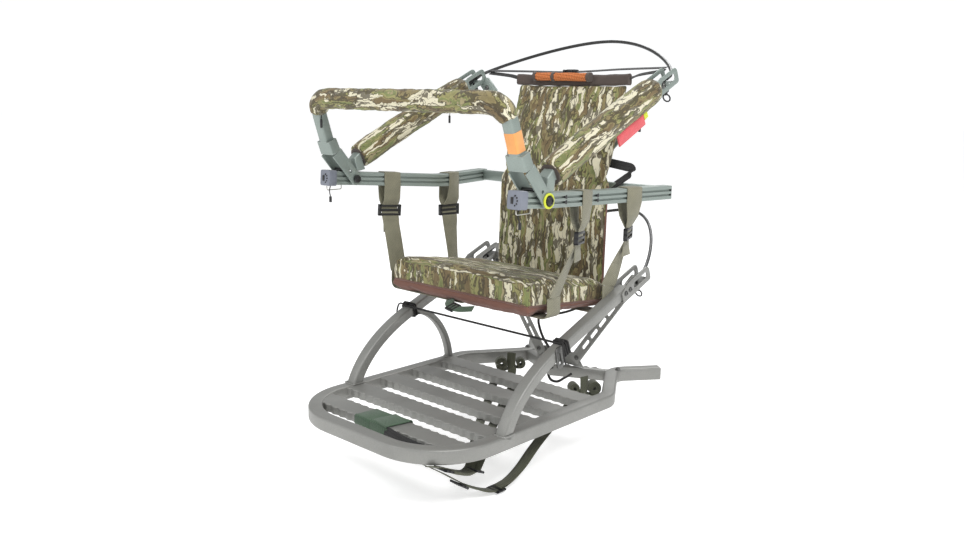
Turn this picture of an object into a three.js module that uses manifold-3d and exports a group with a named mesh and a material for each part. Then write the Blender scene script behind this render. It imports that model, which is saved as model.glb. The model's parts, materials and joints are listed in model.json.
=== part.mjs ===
// Climbing tree stand: a foot platform and a seat section that grip one trunk.
// Millimetres. +Z is up, +Y points at the trunk, +X is the user's right when
// facing the trunk. The origin is in the plane of symmetry, on the underside of
// the platform's front tube, midway across that tube. Inside this file y is
// measured from the platform's front edge.
import * as THREE from 'three';
import { mergeVertices } from 'three/addons/utils/BufferGeometryUtils.js';
import Module from 'manifold-3d';

const wasm = await Module();
wasm.setup();

// ---------- driving dimensions ----------
const GAP = 0.3;                 // clearance between neighbouring pieces
const TUBE = 32;                 // platform frame tube, square section
const DECK_HALF = 254;           // half the platform's outer width
const FRONT_RADIUS = 144;        // centre-line radius of the front corners
const WAIST = { x: 131, y: 747.5 };   // where the frame turns out into its tails
const SHOULDER_Y = 579;          // where the side rails turn inwards
const TAIL = { x: 207.5, y: 849.5 };

const SLAT_COUNT = 5;
const SLAT_FIRST_Y = 64.6;
const SLAT_PITCH = 104.7;
const SLAT_WIDTH = 57;
const SLAT_HEIGHT = 18;
const SLAT_TOP = TUBE - 2;
const SLAT_UNDERSIDE = SLAT_TOP - SLAT_HEIGHT;

const ARM_X = 240;               // plane of the platform's arms
const ARM_WIDTH = 28;
const ARM_DEPTH = 25;
const ARM_SLOPE = THREE.MathUtils.degToRad(22);
const ARM_FOOT_Y = 204;
const KNEE = { y: 380, z: 178 }; // where the arm's arch becomes straight
const BRACKET_START_Y = 592;
const PLATFORM_CABLE_APEX = { y: 990, z: 408 };

const RAIL_HEIGHT = 31;
const RAIL_WIDTH = 28;
const HUB = new THREE.Vector3(288, 239, 517);          // pivot of the front bar
const RAIL_FRONT = new THREE.Vector3(288, 171, 521.6);
const RAIL_NECK = new THREE.Vector3(288, 262, 515.5);  // behind the hub the rails close in
const RAIL_BEND = new THREE.Vector3(245, 490, 501);
const RAIL_END = new THREE.Vector3(291, 704, 502);

const ARMREST_X = 292;
const ARMREST_TUBE = 26;
const ARMREST_SLOPE = THREE.MathUtils.degToRad(25);
const SEAT_BRACKET = { y: 604, z: 726 };
const SEAT_CABLE_APEX = { y: 858, z: 854 };

const BAR_TUBE = 26;
const BAR_TOP = { y: 140, z: 702 };
const FORK_THICKNESS = 4;
const FORK_SPREAD = 21;          // rail centre to the middle of a fork plate
const FORK_HALF_WIDTH = 15;
const SLEEVE_DEPTH = 27;
const BAR_UP = new THREE.Vector3(0, 0.9, 0.22).normalize();   // square to the bar's plane

const CUSHION = { halfWidth: 220, front: 294, rear: 620, frontTop: 332, rearTop: 286, thickness: 72 };
const BACKREST_HALF = 170;
const BACKREST_DEPTH = 18;
const CABLE_RADIUS = 4;
const WEB_WIDTH = 25;
const HANGER_WIDTH = 45;         // the wider webs that carry the seat
const BUCKLE_Z = 424;
const WEB_THICKNESS = 2;

// ---------- materials ----------
const finish = (color, roughness, metalness = 0) =>
  new THREE.MeshStandardMaterial({ color, roughness, metalness });
const powderCoat = finish(0x969690, 0.6, 0.3);
const railCoat = finish(0xa3aba1, 0.55, 0.3);
const camo = finish(0x7c774c, 0.95);
const webbing = finish(0x6f705c, 0.9);
const blackWeb = finish(0x222222, 0.9);
const greenWeb = finish(0x557355, 0.9);
const blackPlastic = finish(0x1c1c1c, 0.5);
const capPlastic = finish(0x6a6a78, 0.5);
const coatedCable = finish(0x20201f, 0.45);
const steel = finish(0xb4b0a8, 0.35, 0.9);

// ---------- geometry helpers ----------
const X_AXIS = new THREE.Vector3(1, 0, 0);
const Y_AXIS = new THREE.Vector3(0, 1, 0);
const Z_AXIS = new THREE.Vector3(0, 0, 1);
const point = (x, y, z) => new THREE.Vector3(x, y, z);

// A centre-line given by its stations, with a section that keeps one side
// facing `up`. The section's first axis is up x tangent.
class Centreline extends THREE.Curve {
  constructor(stations, up) {
    super();
    this.stations = stations;
    this.up = up;
  }

  getSpacedPoints() {
    return this.stations;
  }

  computeFrenetFrames() {
    const frames = { tangents: [], normals: [], binormals: [] };
    const last = this.stations.length - 1;
    this.stations.forEach((_, i) => {
      const before = this.stations[Math.max(i - 1, 0)];
      const after = this.stations[Math.min(i + 1, last)];
      const tangent = after.clone().sub(before).normalize();
      const normal = this.up.clone().cross(tangent).normalize();
      frames.tangents.push(tangent);
      frames.normals.push(normal);
      frames.binormals.push(tangent.clone().cross(normal));
    });
    return frames;
  }
}

function sweep(outline, stations, up = Z_AXIS) {
  const extrudePath = new Centreline(stations, up);
  return new THREE.ExtrudeGeometry(outline, { steps: stations.length - 1, extrudePath, curveSegments: 1 });
}

// Rounds each inner corner of a polyline with an arc of its radius.
function rounded(corners, radii, steps = 4) {
  const path = [corners[0]];
  for (let i = 1; i < corners.length - 1; i++) {
    const radius = Array.isArray(radii) ? radii[i - 1] : radii;
    const back = corners[i - 1].clone().sub(corners[i]).normalize();
    const ahead = corners[i + 1].clone().sub(corners[i]).normalize();
    const turn = Math.PI - back.angleTo(ahead);
    const reach = radius * Math.tan(turn / 2);
    const handle = radius * 4 / 3 * Math.tan(turn / 4);
    const start = corners[i].clone().addScaledVector(back, reach);
    const end = corners[i].clone().addScaledVector(ahead, reach);
    const arc = new THREE.CubicBezierCurve3(
      start,
      start.clone().addScaledVector(back, -handle),
      end.clone().addScaledVector(ahead, -handle),
      end,
    );
    path.push(...arc.getPoints(steps));
  }
  path.push(corners[corners.length - 1]);
  return path;
}

const mirrored = (stations) => stations.map((p) => point(-p.x, p.y, p.z));
const bothSides = (rightHalf) => [...mirrored(rightHalf).reverse(), ...rightHalf];

function roundedRect(width, height, radius) {
  const shape = new THREE.Shape();
  const x = width / 2;
  const y = height / 2;
  shape.absarc(x - radius, y - radius, radius, 0, Math.PI / 2);
  shape.absarc(-x + radius, y - radius, radius, Math.PI / 2, Math.PI);
  shape.absarc(-x + radius, -y + radius, radius, Math.PI, Math.PI * 1.5);
  shape.absarc(x - radius, -y + radius, radius, Math.PI * 1.5, Math.PI * 2);
  return shape;
}

function disc(radius, sides = 6) {
  const corners = Array.from({ length: sides }, (_, i) => {
    const angle = (i + 0.5) / sides * Math.PI * 2;
    return new THREE.Vector2(radius * Math.cos(angle), radius * Math.sin(angle));
  });
  return new THREE.Shape(corners);
}

const polygon = (...corners) => new THREE.Shape(corners.map(([x, y]) => new THREE.Vector2(x, y)));

function slab(shape, depth) {
  return new THREE.ExtrudeGeometry(shape, { depth, bevelEnabled: false, curveSegments: 4 });
}

function box(low, high) {
  const size = high.map((value, i) => value - low[i]);
  return new THREE.BoxGeometry(...size).translate(...low.map((value, i) => value + size[i] / 2));
}

// Places geometry whose local x, y and z run along three given directions.
function placed(geometry, origin, xDir, yDir) {
  const zDir = xDir.clone().cross(yDir);
  return geometry.applyMatrix4(new THREE.Matrix4().makeBasis(xDir, yDir, zDir).setPosition(origin));
}

// Local x along a slope in a side plane, local y square to it, local z along +X.
function onSlope(geometry, origin, angle) {
  const along = point(0, Math.cos(angle), Math.sin(angle));
  const across = point(0, -Math.sin(angle), Math.cos(angle));
  return placed(geometry, origin, along, across);
}

function solid(geometry) {
  const bare = geometry.clone();
  bare.deleteAttribute('normal');
  bare.deleteAttribute('uv');
  const welded = mergeVertices(bare);
  return new wasm.Manifold(new wasm.Mesh({
    numProp: 3,
    vertProperties: new Float32Array(welded.attributes.position.array),
    triVerts: new Uint32Array(welded.index.array),
  }));
}

function surface(body) {
  const mesh = body.getMesh();
  const geometry = new THREE.BufferGeometry();
  geometry.setAttribute('position', new THREE.BufferAttribute(mesh.vertProperties, 3));
  geometry.setIndex(new THREE.BufferAttribute(mesh.triVerts, 1));
  geometry.computeVertexNormals();
  return geometry;
}

function cut(base, ...tools) {
  return surface(tools.reduce((body, tool) => body.subtract(solid(tool)), solid(base)));
}

function join(base, ...parts) {
  return surface(parts.reduce((body, part) => body.add(solid(part)), solid(base)));
}

const stand = new THREE.Group();

function add(name, geometry, material) {
  const mesh = new THREE.Mesh(geometry, material);
  mesh.name = name;
  stand.add(mesh);
  return mesh;
}

// The right-hand piece and its mirror image on the left.
function addPair(name, geometry, material) {
  add(`${name}_right`, geometry, material);
  add(`${name}_left`, geometry, material).scale.x = -1;
}

// ---------- platform ----------
function frameStations() {
  const height = TUBE / 2;
  const side = DECK_HALF - TUBE / 2;
  const half = rounded(
    [
      point(0, TUBE / 2, height),
      point(side, TUBE / 2, height),
      point(side, SHOULDER_Y, height),
      point(WAIST.x, WAIST.y, height),
      point(TAIL.x, TAIL.y, height),
    ],
    [FRONT_RADIUS, 60, 50],
    6,
  );
  return bothSides(half.slice(1));
}

const frameTube = (size) => sweep(roundedRect(size, size, 6), frameStations());
const frameClearance = frameTube(TUBE + 2 * GAP);

// A foot slat: an inverted channel whose long edges are scalloped for grip.
function slat(index) {
  const scallops = 10;
  const reach = DECK_HALF - TUBE + (index === 0 ? -3 : 3);   // the first one meets the corner bends
  const bite = 4;
  const near = SLAT_FIRST_Y + index * SLAT_PITCH;
  const far = near + SLAT_WIDTH;
  const step = 2 * reach / scallops;
  const shape = new THREE.Shape();
  shape.moveTo(-reach, near);
  for (let i = 1; i <= scallops; i++) {
    shape.quadraticCurveTo(-reach + (i - 0.5) * step, near + bite, -reach + i * step, near);
  }
  shape.lineTo(reach, far);
  for (let i = scallops - 1; i >= 0; i--) {
    shape.quadraticCurveTo(-reach + (i + 0.5) * step, far - bite, -reach + i * step, far);
  }
  const blank = slab(shape, SLAT_HEIGHT).translate(0, 0, SLAT_UNDERSIDE);
  const channel = box([-reach - 1, near + 8, SLAT_UNDERSIDE - 1], [reach + 1, far - 8, SLAT_TOP - 4]);
  return cut(blank, channel, frameClearance);
}

// The V-shaped bar that bites the trunk, with a row of teeth on each half.
function platformTreeBar() {
  const width = 22;
  const height = TUBE - 4;
  const apex = point(0, 668, TUBE / 2);
  const end = point(137, 737, TUBE / 2);
  const along = end.clone().sub(apex).normalize();
  const bar = sweep(roundedRect(width, height, 4), [...mirrored([end]), apex, end]);
  const teeth = [];
  const toothPitch = 24;
  const tooth = slab(polygon([-9, -2], [9, -2], [0, 10]), height);
  for (let i = 1; i <= 4; i++) {
    for (const side of [1, -1]) {
      const seat = apex.clone().addScaledVector(along, 14 + i * toothPitch);
      const out = point(-along.y * side, along.x, 0).multiplyScalar(width / 2 - 1);
      const place = point(seat.x * side, seat.y, (TUBE - height) / 2).add(out);
      const run = point(along.x, along.y * side, 0);
      teeth.push(placed(tooth.clone(), place, run, point(-run.y, run.x, 0)));
    }
  }
  return cut(join(bar, ...teeth), frameClearance);
}

function armStations() {
  const foot = point(ARM_X, ARM_FOOT_Y, TUBE - 8);
  const knee = point(ARM_X, KNEE.y, KNEE.z);
  const rise = THREE.MathUtils.degToRad(70);
  const reach = 78;
  const arch = new THREE.CubicBezierCurve3(
    foot,
    foot.clone().add(point(0, reach * Math.cos(rise), reach * Math.sin(rise))),
    knee.clone().sub(point(0, reach * Math.cos(ARM_SLOPE), reach * Math.sin(ARM_SLOPE))),
    knee,
  );
  return [...arch.getPoints(9), onArm(bracketRun() + 30)];
}

const bracketRun = () => (BRACKET_START_Y - KNEE.y) / Math.cos(ARM_SLOPE);

// A point on the straight part of the right arm, `run` mm beyond the knee.
function onArm(run, lift = 0, aside = 0) {
  return point(
    ARM_X + aside,
    KNEE.y + run * Math.cos(ARM_SLOPE) - lift * Math.sin(ARM_SLOPE),
    KNEE.z + run * Math.sin(ARM_SLOPE) + lift * Math.cos(ARM_SLOPE),
  );
}

const armTube = (extra) => sweep(roundedRect(ARM_DEPTH + extra, ARM_WIDTH + extra, 5), armStations(), X_AXIS);

// A curved prop from the side rail up to the underside of the left arm.
function armBrace() {
  const foot = point(ARM_X, 527, TUBE - 8);
  const top = point(ARM_X, 408, KNEE.z - 4);
  const arch = new THREE.CubicBezierCurve3(
    foot,
    foot.clone().add(point(0, -3, 72)),
    top.clone().add(point(0, 62, -6)),
    top,
  );
  const prop = sweep(roundedRect(15, 20, 4), arch.getPoints(9), X_AXIS);
  return cut(prop, frameClearance, armTube(2 * GAP));
}

// An open channel round the end of a tube, with a long window in each cheek.
const CHANNEL = { low: -17, high: 20, width: 36, wall: 3 };
const PLATFORM_BRACKET_LENGTH = 118;
const SEAT_BRACKET_LENGTH = 96;
const pinRun = (length) => length - 34;        // where the lock pin stands
const stopRun = (length) => length - 59;       // where the cable's end stop starts
const exitRun = (length) => length - 6;        // where the cable leaves the channel

function bracket(origin, angle, length) {
  const { low, high, width, wall } = CHANNEL;
  const cheek = new THREE.Shape();
  cheek.moveTo(0, low);
  cheek.lineTo(length - 8, low);
  cheek.quadraticCurveTo(length, low, length, low + 8);
  cheek.lineTo(length, high - 14);
  cheek.quadraticCurveTo(length, high, length - 14, high);
  cheek.lineTo(30, high);
  cheek.lineTo(0, high - 12);
  const window = new THREE.Path();
  window.absarc(length - 62, 2, 8, Math.PI / 2, Math.PI * 1.5);
  window.absarc(length - 20, 2, 8, -Math.PI / 2, Math.PI / 2);
  cheek.holes.push(window);
  const shell = slab(cheek, width).translate(0, 0, -width / 2);
  const inside = box(
    [-1, low + wall, -width / 2 + wall],
    [length + 1, high + 1, width / 2 - wall],
  );
  const pinHole = new THREE.CylinderGeometry(3.6, 3.6, 12, 12).translate(pinRun(length), low, 0);
  return onSlope(cut(shell, inside, pinHole), origin, angle);
}

// A sprung pull pin under a bracket: shank, collar and a finger ring.
function lockPin(origin, angle, length) {
  const top = -CABLE_RADIUS - 3.4;
  const collarTop = CHANNEL.low - 1;
  const profile = [
    [0, top],
    [3, top],
    [3, collarTop],
    [8, collarTop],
    [8, collarTop - 9],
    [4, collarTop - 9],
    [4, collarTop - 16],
    [0, collarTop - 16],
  ].map(([r, h]) => new THREE.Vector2(r, h)).reverse();
  const shank = new THREE.LatheGeometry(profile, 10);
  const ring = new THREE.TorusGeometry(9, 2, 5, 10).rotateY(Math.PI / 2).translate(0, collarTop - 23, 0);
  return onSlope(join(shank, ring).translate(pinRun(length), 0, 0), origin, angle);
}

// A coated cable: a thick end stop in each bracket and a loop round the trunk.
function cable(stop, tip, apex, firstHandle, apexHandle) {
  const along = tip.clone().sub(stop).normalize();
  const loop = new THREE.CubicBezierCurve3(
    tip,
    tip.clone().addScaledVector(along, firstHandle),
    apex.clone().add(point(apexHandle, 0, 0)),
    apex,
  );
  const half = [stop, ...loop.getPoints(14)];
  const line = sweep(disc(CABLE_RADIUS, 8), [...half, ...mirrored(half).reverse().slice(1)]);
  const ferrule = (base, way) => sweep(disc(6.4, 10), [base, base.clone().addScaledVector(way, 20)]);
  const leftAlong = point(-along.x, along.y, along.z);
  return join(line, ferrule(stop, along), ferrule(point(-stop.x, stop.y, stop.z), leftAlong));
}

function platformCable() {
  const stop = onArm(bracketRun() + stopRun(PLATFORM_BRACKET_LENGTH));
  const exit = onArm(bracketRun() + exitRun(PLATFORM_BRACKET_LENGTH));
  return cable(stop, exit, point(0, PLATFORM_CABLE_APEX.y, PLATFORM_CABLE_APEX.z), 34, 108);
}

function seatCable() {
  const stop = seatArm(stopRun(SEAT_BRACKET_LENGTH));
  const exit = seatArm(exitRun(SEAT_BRACKET_LENGTH));
  return cable(stop, exit, point(0, SEAT_CABLE_APEX.y, SEAT_CABLE_APEX.z), 34, 140);
}

// A flat brace in a cross plane, with a row of long slots.
function flatBrace(low, high, width, slotCount) {
  const run = high.clone().sub(low);
  const length = run.length();
  const shape = roundedRect(length, width, 5);
  const pitch = (length - 60) / Math.max(slotCount, 1);
  for (let i = 0; i < slotCount; i++) {
    const middle = -length / 2 + 42 + pitch * (i + 0.5);
    const slot = new THREE.Path();
    slot.absarc(middle - 12, 0, 4.5, Math.PI / 2, Math.PI * 1.5);
    slot.absarc(middle + 12, 0, 4.5, -Math.PI / 2, Math.PI / 2);
    shape.holes.push(slot);
  }
  const along = run.normalize();
  const across = Y_AXIS.clone().negate().cross(along);
  const plate = slab(shape, 5).translate(length / 2, 0, 0);
  return placed(plate, low, along, across);
}

// Cord lashed round both arms at the knee and drawn tight between them.
function levelCord() {
  const radius = 2.5;
  const out = ARM_WIDTH / 2 + radius + GAP;
  const up = ARM_DEPTH / 2 + radius + GAP;
  const pitch = 7;
  const start = 2;
  const corners = [onArm(start, up, -ARM_X)];
  for (let turn = 0; turn < 3; turn++) {
    const run = start + turn * pitch;
    corners.push(onArm(run, up, out));
    corners.push(onArm(run, -up, out));
    corners.push(onArm(run + pitch / 2, -up, -out));
    if (turn < 2) {
      corners.push(onArm(run + pitch, up, -out));
    }
  }
  const lashing = rounded(corners, 4, 1);
  const along = point(0, Math.cos(ARM_SLOPE), Math.sin(ARM_SLOPE));
  return sweep(disc(radius, 6), bothSides(lashing.slice(1)), along);
}

// A bent flat hook with two prongs, hung on the outside of the right arm.
function cordClip() {
  const shape = roundedRect(22, 50, 8);
  const split = new THREE.Path();
  split.absarc(0, -14, 3, Math.PI, Math.PI * 2);
  split.absarc(0, 8, 3, 0, Math.PI);
  shape.holes.push(split);
  const face = ARM_X + ARM_WIDTH / 2 + GAP;
  return onSlope(slab(shape, 3), point(face, KNEE.y - 16, KNEE.z - 12), THREE.MathUtils.degToRad(12));
}

// A flat strap along a path; `across` is the way its width points.
function strap(stations, across, width = WEB_WIDTH) {
  const t = WEB_THICKNESS / 2;
  const w = width / 2;
  return sweep(polygon([t, -w], [t, w], [-t, w], [-t, -w]), stations, across);
}

// A wide strap wrapped round the first slat, to hold the toes.
function toeStrap() {
  const low = SLAT_FIRST_Y - 2;
  const high = SLAT_FIRST_Y + SLAT_WIDTH + 2;
  const top = SLAT_TOP + 1;
  const bottom = SLAT_UNDERSIDE - 1;
  const wall = 2.5;
  const outer = roundedRect(high - low + 2 * wall, top - bottom + 2 * wall, 5);
  const inner = new THREE.Path(roundedRect(high - low, top - bottom, 2).getPoints(2).reverse());
  outer.holes.push(inner);
  const centre = point(-62, (low + high) / 2, (top + bottom) / 2);
  return placed(slab(outer, 106), centre, Y_AXIS, Z_AXIS);
}

// A foot strap that runs under the slats and hangs below the right-hand side.
function footStrapShort() {
  const under = SLAT_UNDERSIDE - 4;
  const corners = [point(-118, 586, under), point(150, 212, under), point(208, 145, -38), point(214, 56, -6)];
  return strap(rounded(corners, 24, 3), point(0.81, 0.58, 0));
}

// The longer one hangs from the right side rail in a deep loop.
function footStrapLong() {
  const under = SLAT_UNDERSIDE - 4;
  const corners = [point(186, 500, under), point(205, 220, -128), point(158, 30, -4)];
  return strap(rounded(corners, 40, 3), X_AXIS);
}

// Spare webbing rolled into a bundle and tied beside the tree bar.
function strapBundle(x, y, turnZ) {
  const radius = 17;
  const roll = slab(disc(radius, 12), 2 * radius).translate(0, 0, -radius);
  return roll.rotateY(Math.PI / 2).rotateZ(turnZ).translate(x, y, TUBE / 2);
}

add('platform_frame', frameTube(TUBE), powderCoat);
for (let i = 0; i < SLAT_COUNT; i++) {
  add(`slat_${i + 1}`, slat(i), powderCoat);
}
add('platform_tree_bar', platformTreeBar(), powderCoat);
addPair('platform_arm', cut(armTube(0), frameClearance), powderCoat);
add('arm_brace_left', armBrace(), powderCoat).scale.x = -1;
addPair('platform_bracket', bracket(onArm(bracketRun()), ARM_SLOPE, PLATFORM_BRACKET_LENGTH), powderCoat);
addPair('platform_lock', lockPin(onArm(bracketRun()), ARM_SLOPE, PLATFORM_BRACKET_LENGTH), blackPlastic);
add('platform_cable', platformCable(), coatedCable);
addPair('platform_v_brace', flatBrace(point(52, 692, 47), point(208, 692, 262), 28, 5), powderCoat);
add(
  'v_brace_plate',
  placed(slab(polygon([-78, 0], [78, 0], [52, 34], [-52, 34]), 4), point(0, 700, TUBE), X_AXIS, Z_AXIS),
  powderCoat,
);
add('level_cord', levelCord(), coatedCable);
add('cord_clip', cordClip(), steel);
add('toe_strap', toeStrap(), greenWeb);
add('foot_strap_long', footStrapLong(), webbing);
add('foot_strap_short', footStrapShort(), webbing);
add('strap_bundle_left', strapBundle(-124, 615, -0.75), webbing);
add('strap_bundle_right', strapBundle(150, 622, -0.5), webbing);

// ---------- seat section ----------
// Rail section with two grooves along each side.
function railOutline(extra = 0) {
  const w = RAIL_WIDTH / 2 + extra;
  const h = RAIL_HEIGHT / 2 + extra;
  const groove = 2.5;
  const mouth = 2.2;
  const right = [[w, -h]];
  if (extra === 0) {
    for (const middle of [-h / 3, h / 3]) {
      right.push([w, middle - mouth], [w - groove, middle - mouth]);
      right.push([w - groove, middle + mouth], [w, middle + mouth]);
    }
  }
  right.push([w, h]);
  const left = right.map(([x, y]) => [-x, -y]);
  return polygon(...right, ...left);
}

const railStations = () => rounded([RAIL_FRONT, RAIL_NECK, RAIL_BEND, RAIL_END], [60, 120], 4);
const railEnvelope = () => sweep(railOutline(GAP), railStations());

function hubHole() {
  return new THREE.CylinderGeometry(6.5, 6.5, 80, 16).rotateZ(Math.PI / 2).translate(HUB.x, HUB.y, HUB.z);
}

// The middle of the right rail at a distance y from the front.
function railAt(y) {
  const stations = railStations();
  const next = stations.findIndex((p) => p.y > y);
  const [before, after] = [stations[next - 1], stations[next]];
  return before.clone().lerp(after, (y - before.y) / (after.y - before.y));
}

function railCap() {
  const forward = RAIL_FRONT.clone().sub(HUB).normalize();
  const ahead = (distance) => RAIL_FRONT.clone().addScaledVector(forward, distance);
  const blank = sweep(roundedRect(RAIL_WIDTH + 6, RAIL_HEIGHT + 5, 4), [ahead(6), ahead(-16)]);
  return cut(blank, sweep(railOutline(GAP), [ahead(GAP), HUB]));
}

function seatTreeBar() {
  const apex = point(0, 676, RAIL_END.z);
  const end = point(277, 694, RAIL_END.z);
  const bar = sweep(roundedRect(18, 26, 3), [...mirrored([end]), apex, end]);
  return cut(bar, railEnvelope(), sweep(railOutline(GAP), mirrored(railStations())));
}

// Armrest tube: a foot on the rail, then a long rise to the cable bracket.
function armrestStations() {
  const foot = point(HUB.x - 3, 262, HUB.z + RAIL_HEIGHT / 2 + 1);
  const low = point(ARMREST_X, 258, 560);
  const high = seatArm(34);
  const curve = new THREE.CubicBezierCurve3(
    low,
    low.clone().add(point(0, 100, 56)),
    high.clone().sub(point(0, 130 * Math.cos(ARMREST_SLOPE), 130 * Math.sin(ARMREST_SLOPE))),
    high,
  );
  return [foot, ...curve.getPoints(8)];
}

function seatArm(run, lift = 0) {
  return point(
    ARMREST_X,
    SEAT_BRACKET.y + run * Math.cos(ARMREST_SLOPE) - lift * Math.sin(ARMREST_SLOPE),
    SEAT_BRACKET.z + run * Math.sin(ARMREST_SLOPE) + lift * Math.cos(ARMREST_SLOPE),
  );
}

const armrestTube = (size) => sweep(roundedRect(size, size, 5), armrestStations(), X_AXIS);

function armrestPad() {
  const stations = armrestStations().slice(1, -1);
  return cut(sweep(disc(29, 12), stations, X_AXIS), armrestTube(ARMREST_TUBE + 2 * GAP));
}

// Front bar: a fork on each hub, a sleeve, and a tube that arches across.
const FORK_END = point(HUB.x, 184, 580);
const SLEEVE_END = point(HUB.x, 172, 608);

function barStations() {
  const corner = point(HUB.x - 2, BAR_TOP.y, BAR_TOP.z);
  const middle = point(0, BAR_TOP.y, BAR_TOP.z);
  const rightHalf = rounded([FORK_END, SLEEVE_END, corner, middle], [60, 44], 5).slice(0, -1);
  return [...rightHalf, ...mirrored(rightHalf).reverse()];
}

function frontBar() {
  const tube = sweep(disc(BAR_TUBE / 2, 12), barStations(), BAR_UP);
  return join(tube, sleeve(1, 0), sleeve(-1, 0));
}

// The block that ends a leg of the bar and fills the mouth of its fork.
function sleeve(side, extra) {
  const low = point(side * FORK_END.x, FORK_END.y, FORK_END.z - extra);
  const high = point(side * SLEEVE_END.x, SLEEVE_END.y, SLEEVE_END.z + extra);
  const width = 2 * FORK_SPREAD + FORK_THICKNESS + 2 * extra;
  return sweep(roundedRect(width, SLEEVE_DEPTH + 2 * extra, 5), [low, high], BAR_UP);
}

function forkPlate(aside) {
  const reach = point(0, FORK_END.y - HUB.y, FORK_END.z - HUB.z);
  const length = reach.length();
  const angle = Math.atan2(reach.z, reach.y);
  const shape = new THREE.Shape();
  shape.absarc(0, 0, FORK_HALF_WIDTH, Math.PI / 2, Math.PI * 1.5);
  shape.lineTo(length - GAP, -FORK_HALF_WIDTH);
  shape.lineTo(length - GAP, FORK_HALF_WIDTH);
  const bolt = new THREE.Path();
  bolt.absarc(0, 0, 7, 0, Math.PI * 2);
  const spare = new THREE.Path();
  spare.absarc(24, 0, 4, 0, Math.PI * 2);
  shape.holes.push(bolt, spare);
  const plate = slab(shape, FORK_THICKNESS).translate(0, 0, aside - FORK_THICKNESS / 2);
  return cut(onSlope(plate, HUB, angle), sleeve(1, GAP));
}

function hingeBolt() {
  const reach = FORK_SPREAD + FORK_THICKNESS / 2 + 1;
  const profile = [
    [0, reach + 7],
    [9, reach + 7],
    [9, reach],
    [6, reach],
    [6, -reach],
    [9, -reach],
    [9, -reach - 6],
    [0, -reach - 6],
  ].map(([r, h]) => new THREE.Vector2(r, h)).reverse();
  return new THREE.LatheGeometry(profile, 12).rotateZ(-Math.PI / 2).translate(HUB.x, HUB.y, HUB.z);
}

// A rod that lies across the rail between the fork plates.
function stopRod() {
  const half = FORK_SPREAD - FORK_THICKNESS / 2 - GAP;
  const rod = new THREE.CylinderGeometry(4, 4, 2 * half, 12).rotateZ(Math.PI / 2);
  return rod.translate(HUB.x, HUB.y - 28, HUB.z + RAIL_HEIGHT / 2 + 6.5);
}

// A wire bail that hangs in front of the hub, under the rail's cap.
function wireBail() {
  const top = RAIL_FRONT.z - RAIL_HEIGHT / 2 - 4;
  const x = RAIL_FRONT.x + 1;
  const corners = [
    point(x, HUB.y - 26, top),
    point(x, HUB.y - 26, top - 9),
    point(x, HUB.y - 68, top - 9),
    point(x, HUB.y - 68, top),
  ];
  return sweep(disc(1.2, 6), rounded(corners, 3, 2), X_AXIS);
}

function frontPad() {
  const stations = barStations();
  const covered = stations.filter((p) => p.z > BAR_TOP.z - 38);
  return cut(sweep(disc(26, 12), covered, BAR_UP), sweep(disc(BAR_TUBE / 2 + GAP, 12), stations, BAR_UP));
}

// A seat pad that slopes down to the rear, as a plain block with round edges.
function seatCushion() {
  const { halfWidth, front, rear, frontTop, rearTop, thickness } = CUSHION;
  const profile = new THREE.Shape();
  profile.moveTo(front + 10, frontTop);
  profile.lineTo(rear, rearTop);
  profile.lineTo(rear, rearTop - thickness + 24);
  profile.lineTo(front + 30, frontTop - thickness - 4);
  profile.quadraticCurveTo(front, frontTop - thickness, front, frontTop - thickness / 2);
  profile.quadraticCurveTo(front, frontTop, front + 10, frontTop);
  return placed(slab(profile, 2 * halfWidth), point(-halfWidth, 0, 0), Y_AXIS, Z_AXIS);
}

// A hanging back pad: upright below, leaning back towards the brackets above.
function backrest() {
  const front = [[630, 264], [634, 530], [706, 762]];
  const back = front.map(([y, z]) => [y + BACKREST_DEPTH, z]).reverse();
  const panel = slab(polygon(...front, ...back), 2 * BACKREST_HALF);
  return placed(panel, point(-BACKREST_HALF, 0, 0), Y_AXIS, Z_AXIS);
}

// One web from bracket to bracket that carries the backrest's hem.
function hemStrap() {
  const y = 712;
  const stations = [point(-266, 700, 774), point(-150, y, 770), point(150, y, 770), point(266, 700, 774)];
  return strap(stations, Z_AXIS, 12);
}

// A hanging strap: a loop over the rail, a buckle block and a tail to the seat.
function hangingStrap(railY, seatY) {
  const rail = railAt(railY);
  const w = RAIL_WIDTH / 2 + 7;
  const h = RAIL_HEIGHT / 2 + 5;
  const beside = (aside, z) => point(rail.x + aside, railY, z);
  const loop = rounded([
    beside(-3, BUCKLE_Z),
    beside(-w, rail.z - h),
    beside(-w, rail.z + h),
    beside(w, rail.z + h),
    beside(w, rail.z - h),
    beside(3, BUCKLE_Z),
  ], 5, 2);
  const tail = [beside(0, BUCKLE_Z), point(CUSHION.halfWidth + 5, seatY, 282)];
  const half = { thickness: 5, width: HANGER_WIDTH / 2 + 7, height: 12 };
  const buckle = box(
    [rail.x - half.thickness, railY - half.width, BUCKLE_Z - half.height],
    [rail.x + half.thickness, railY + half.width, BUCKLE_Z + half.height],
  );
  return join(strap(loop, Y_AXIS, HANGER_WIDTH), strap(tail, Y_AXIS, HANGER_WIDTH), buckle);
}

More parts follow.
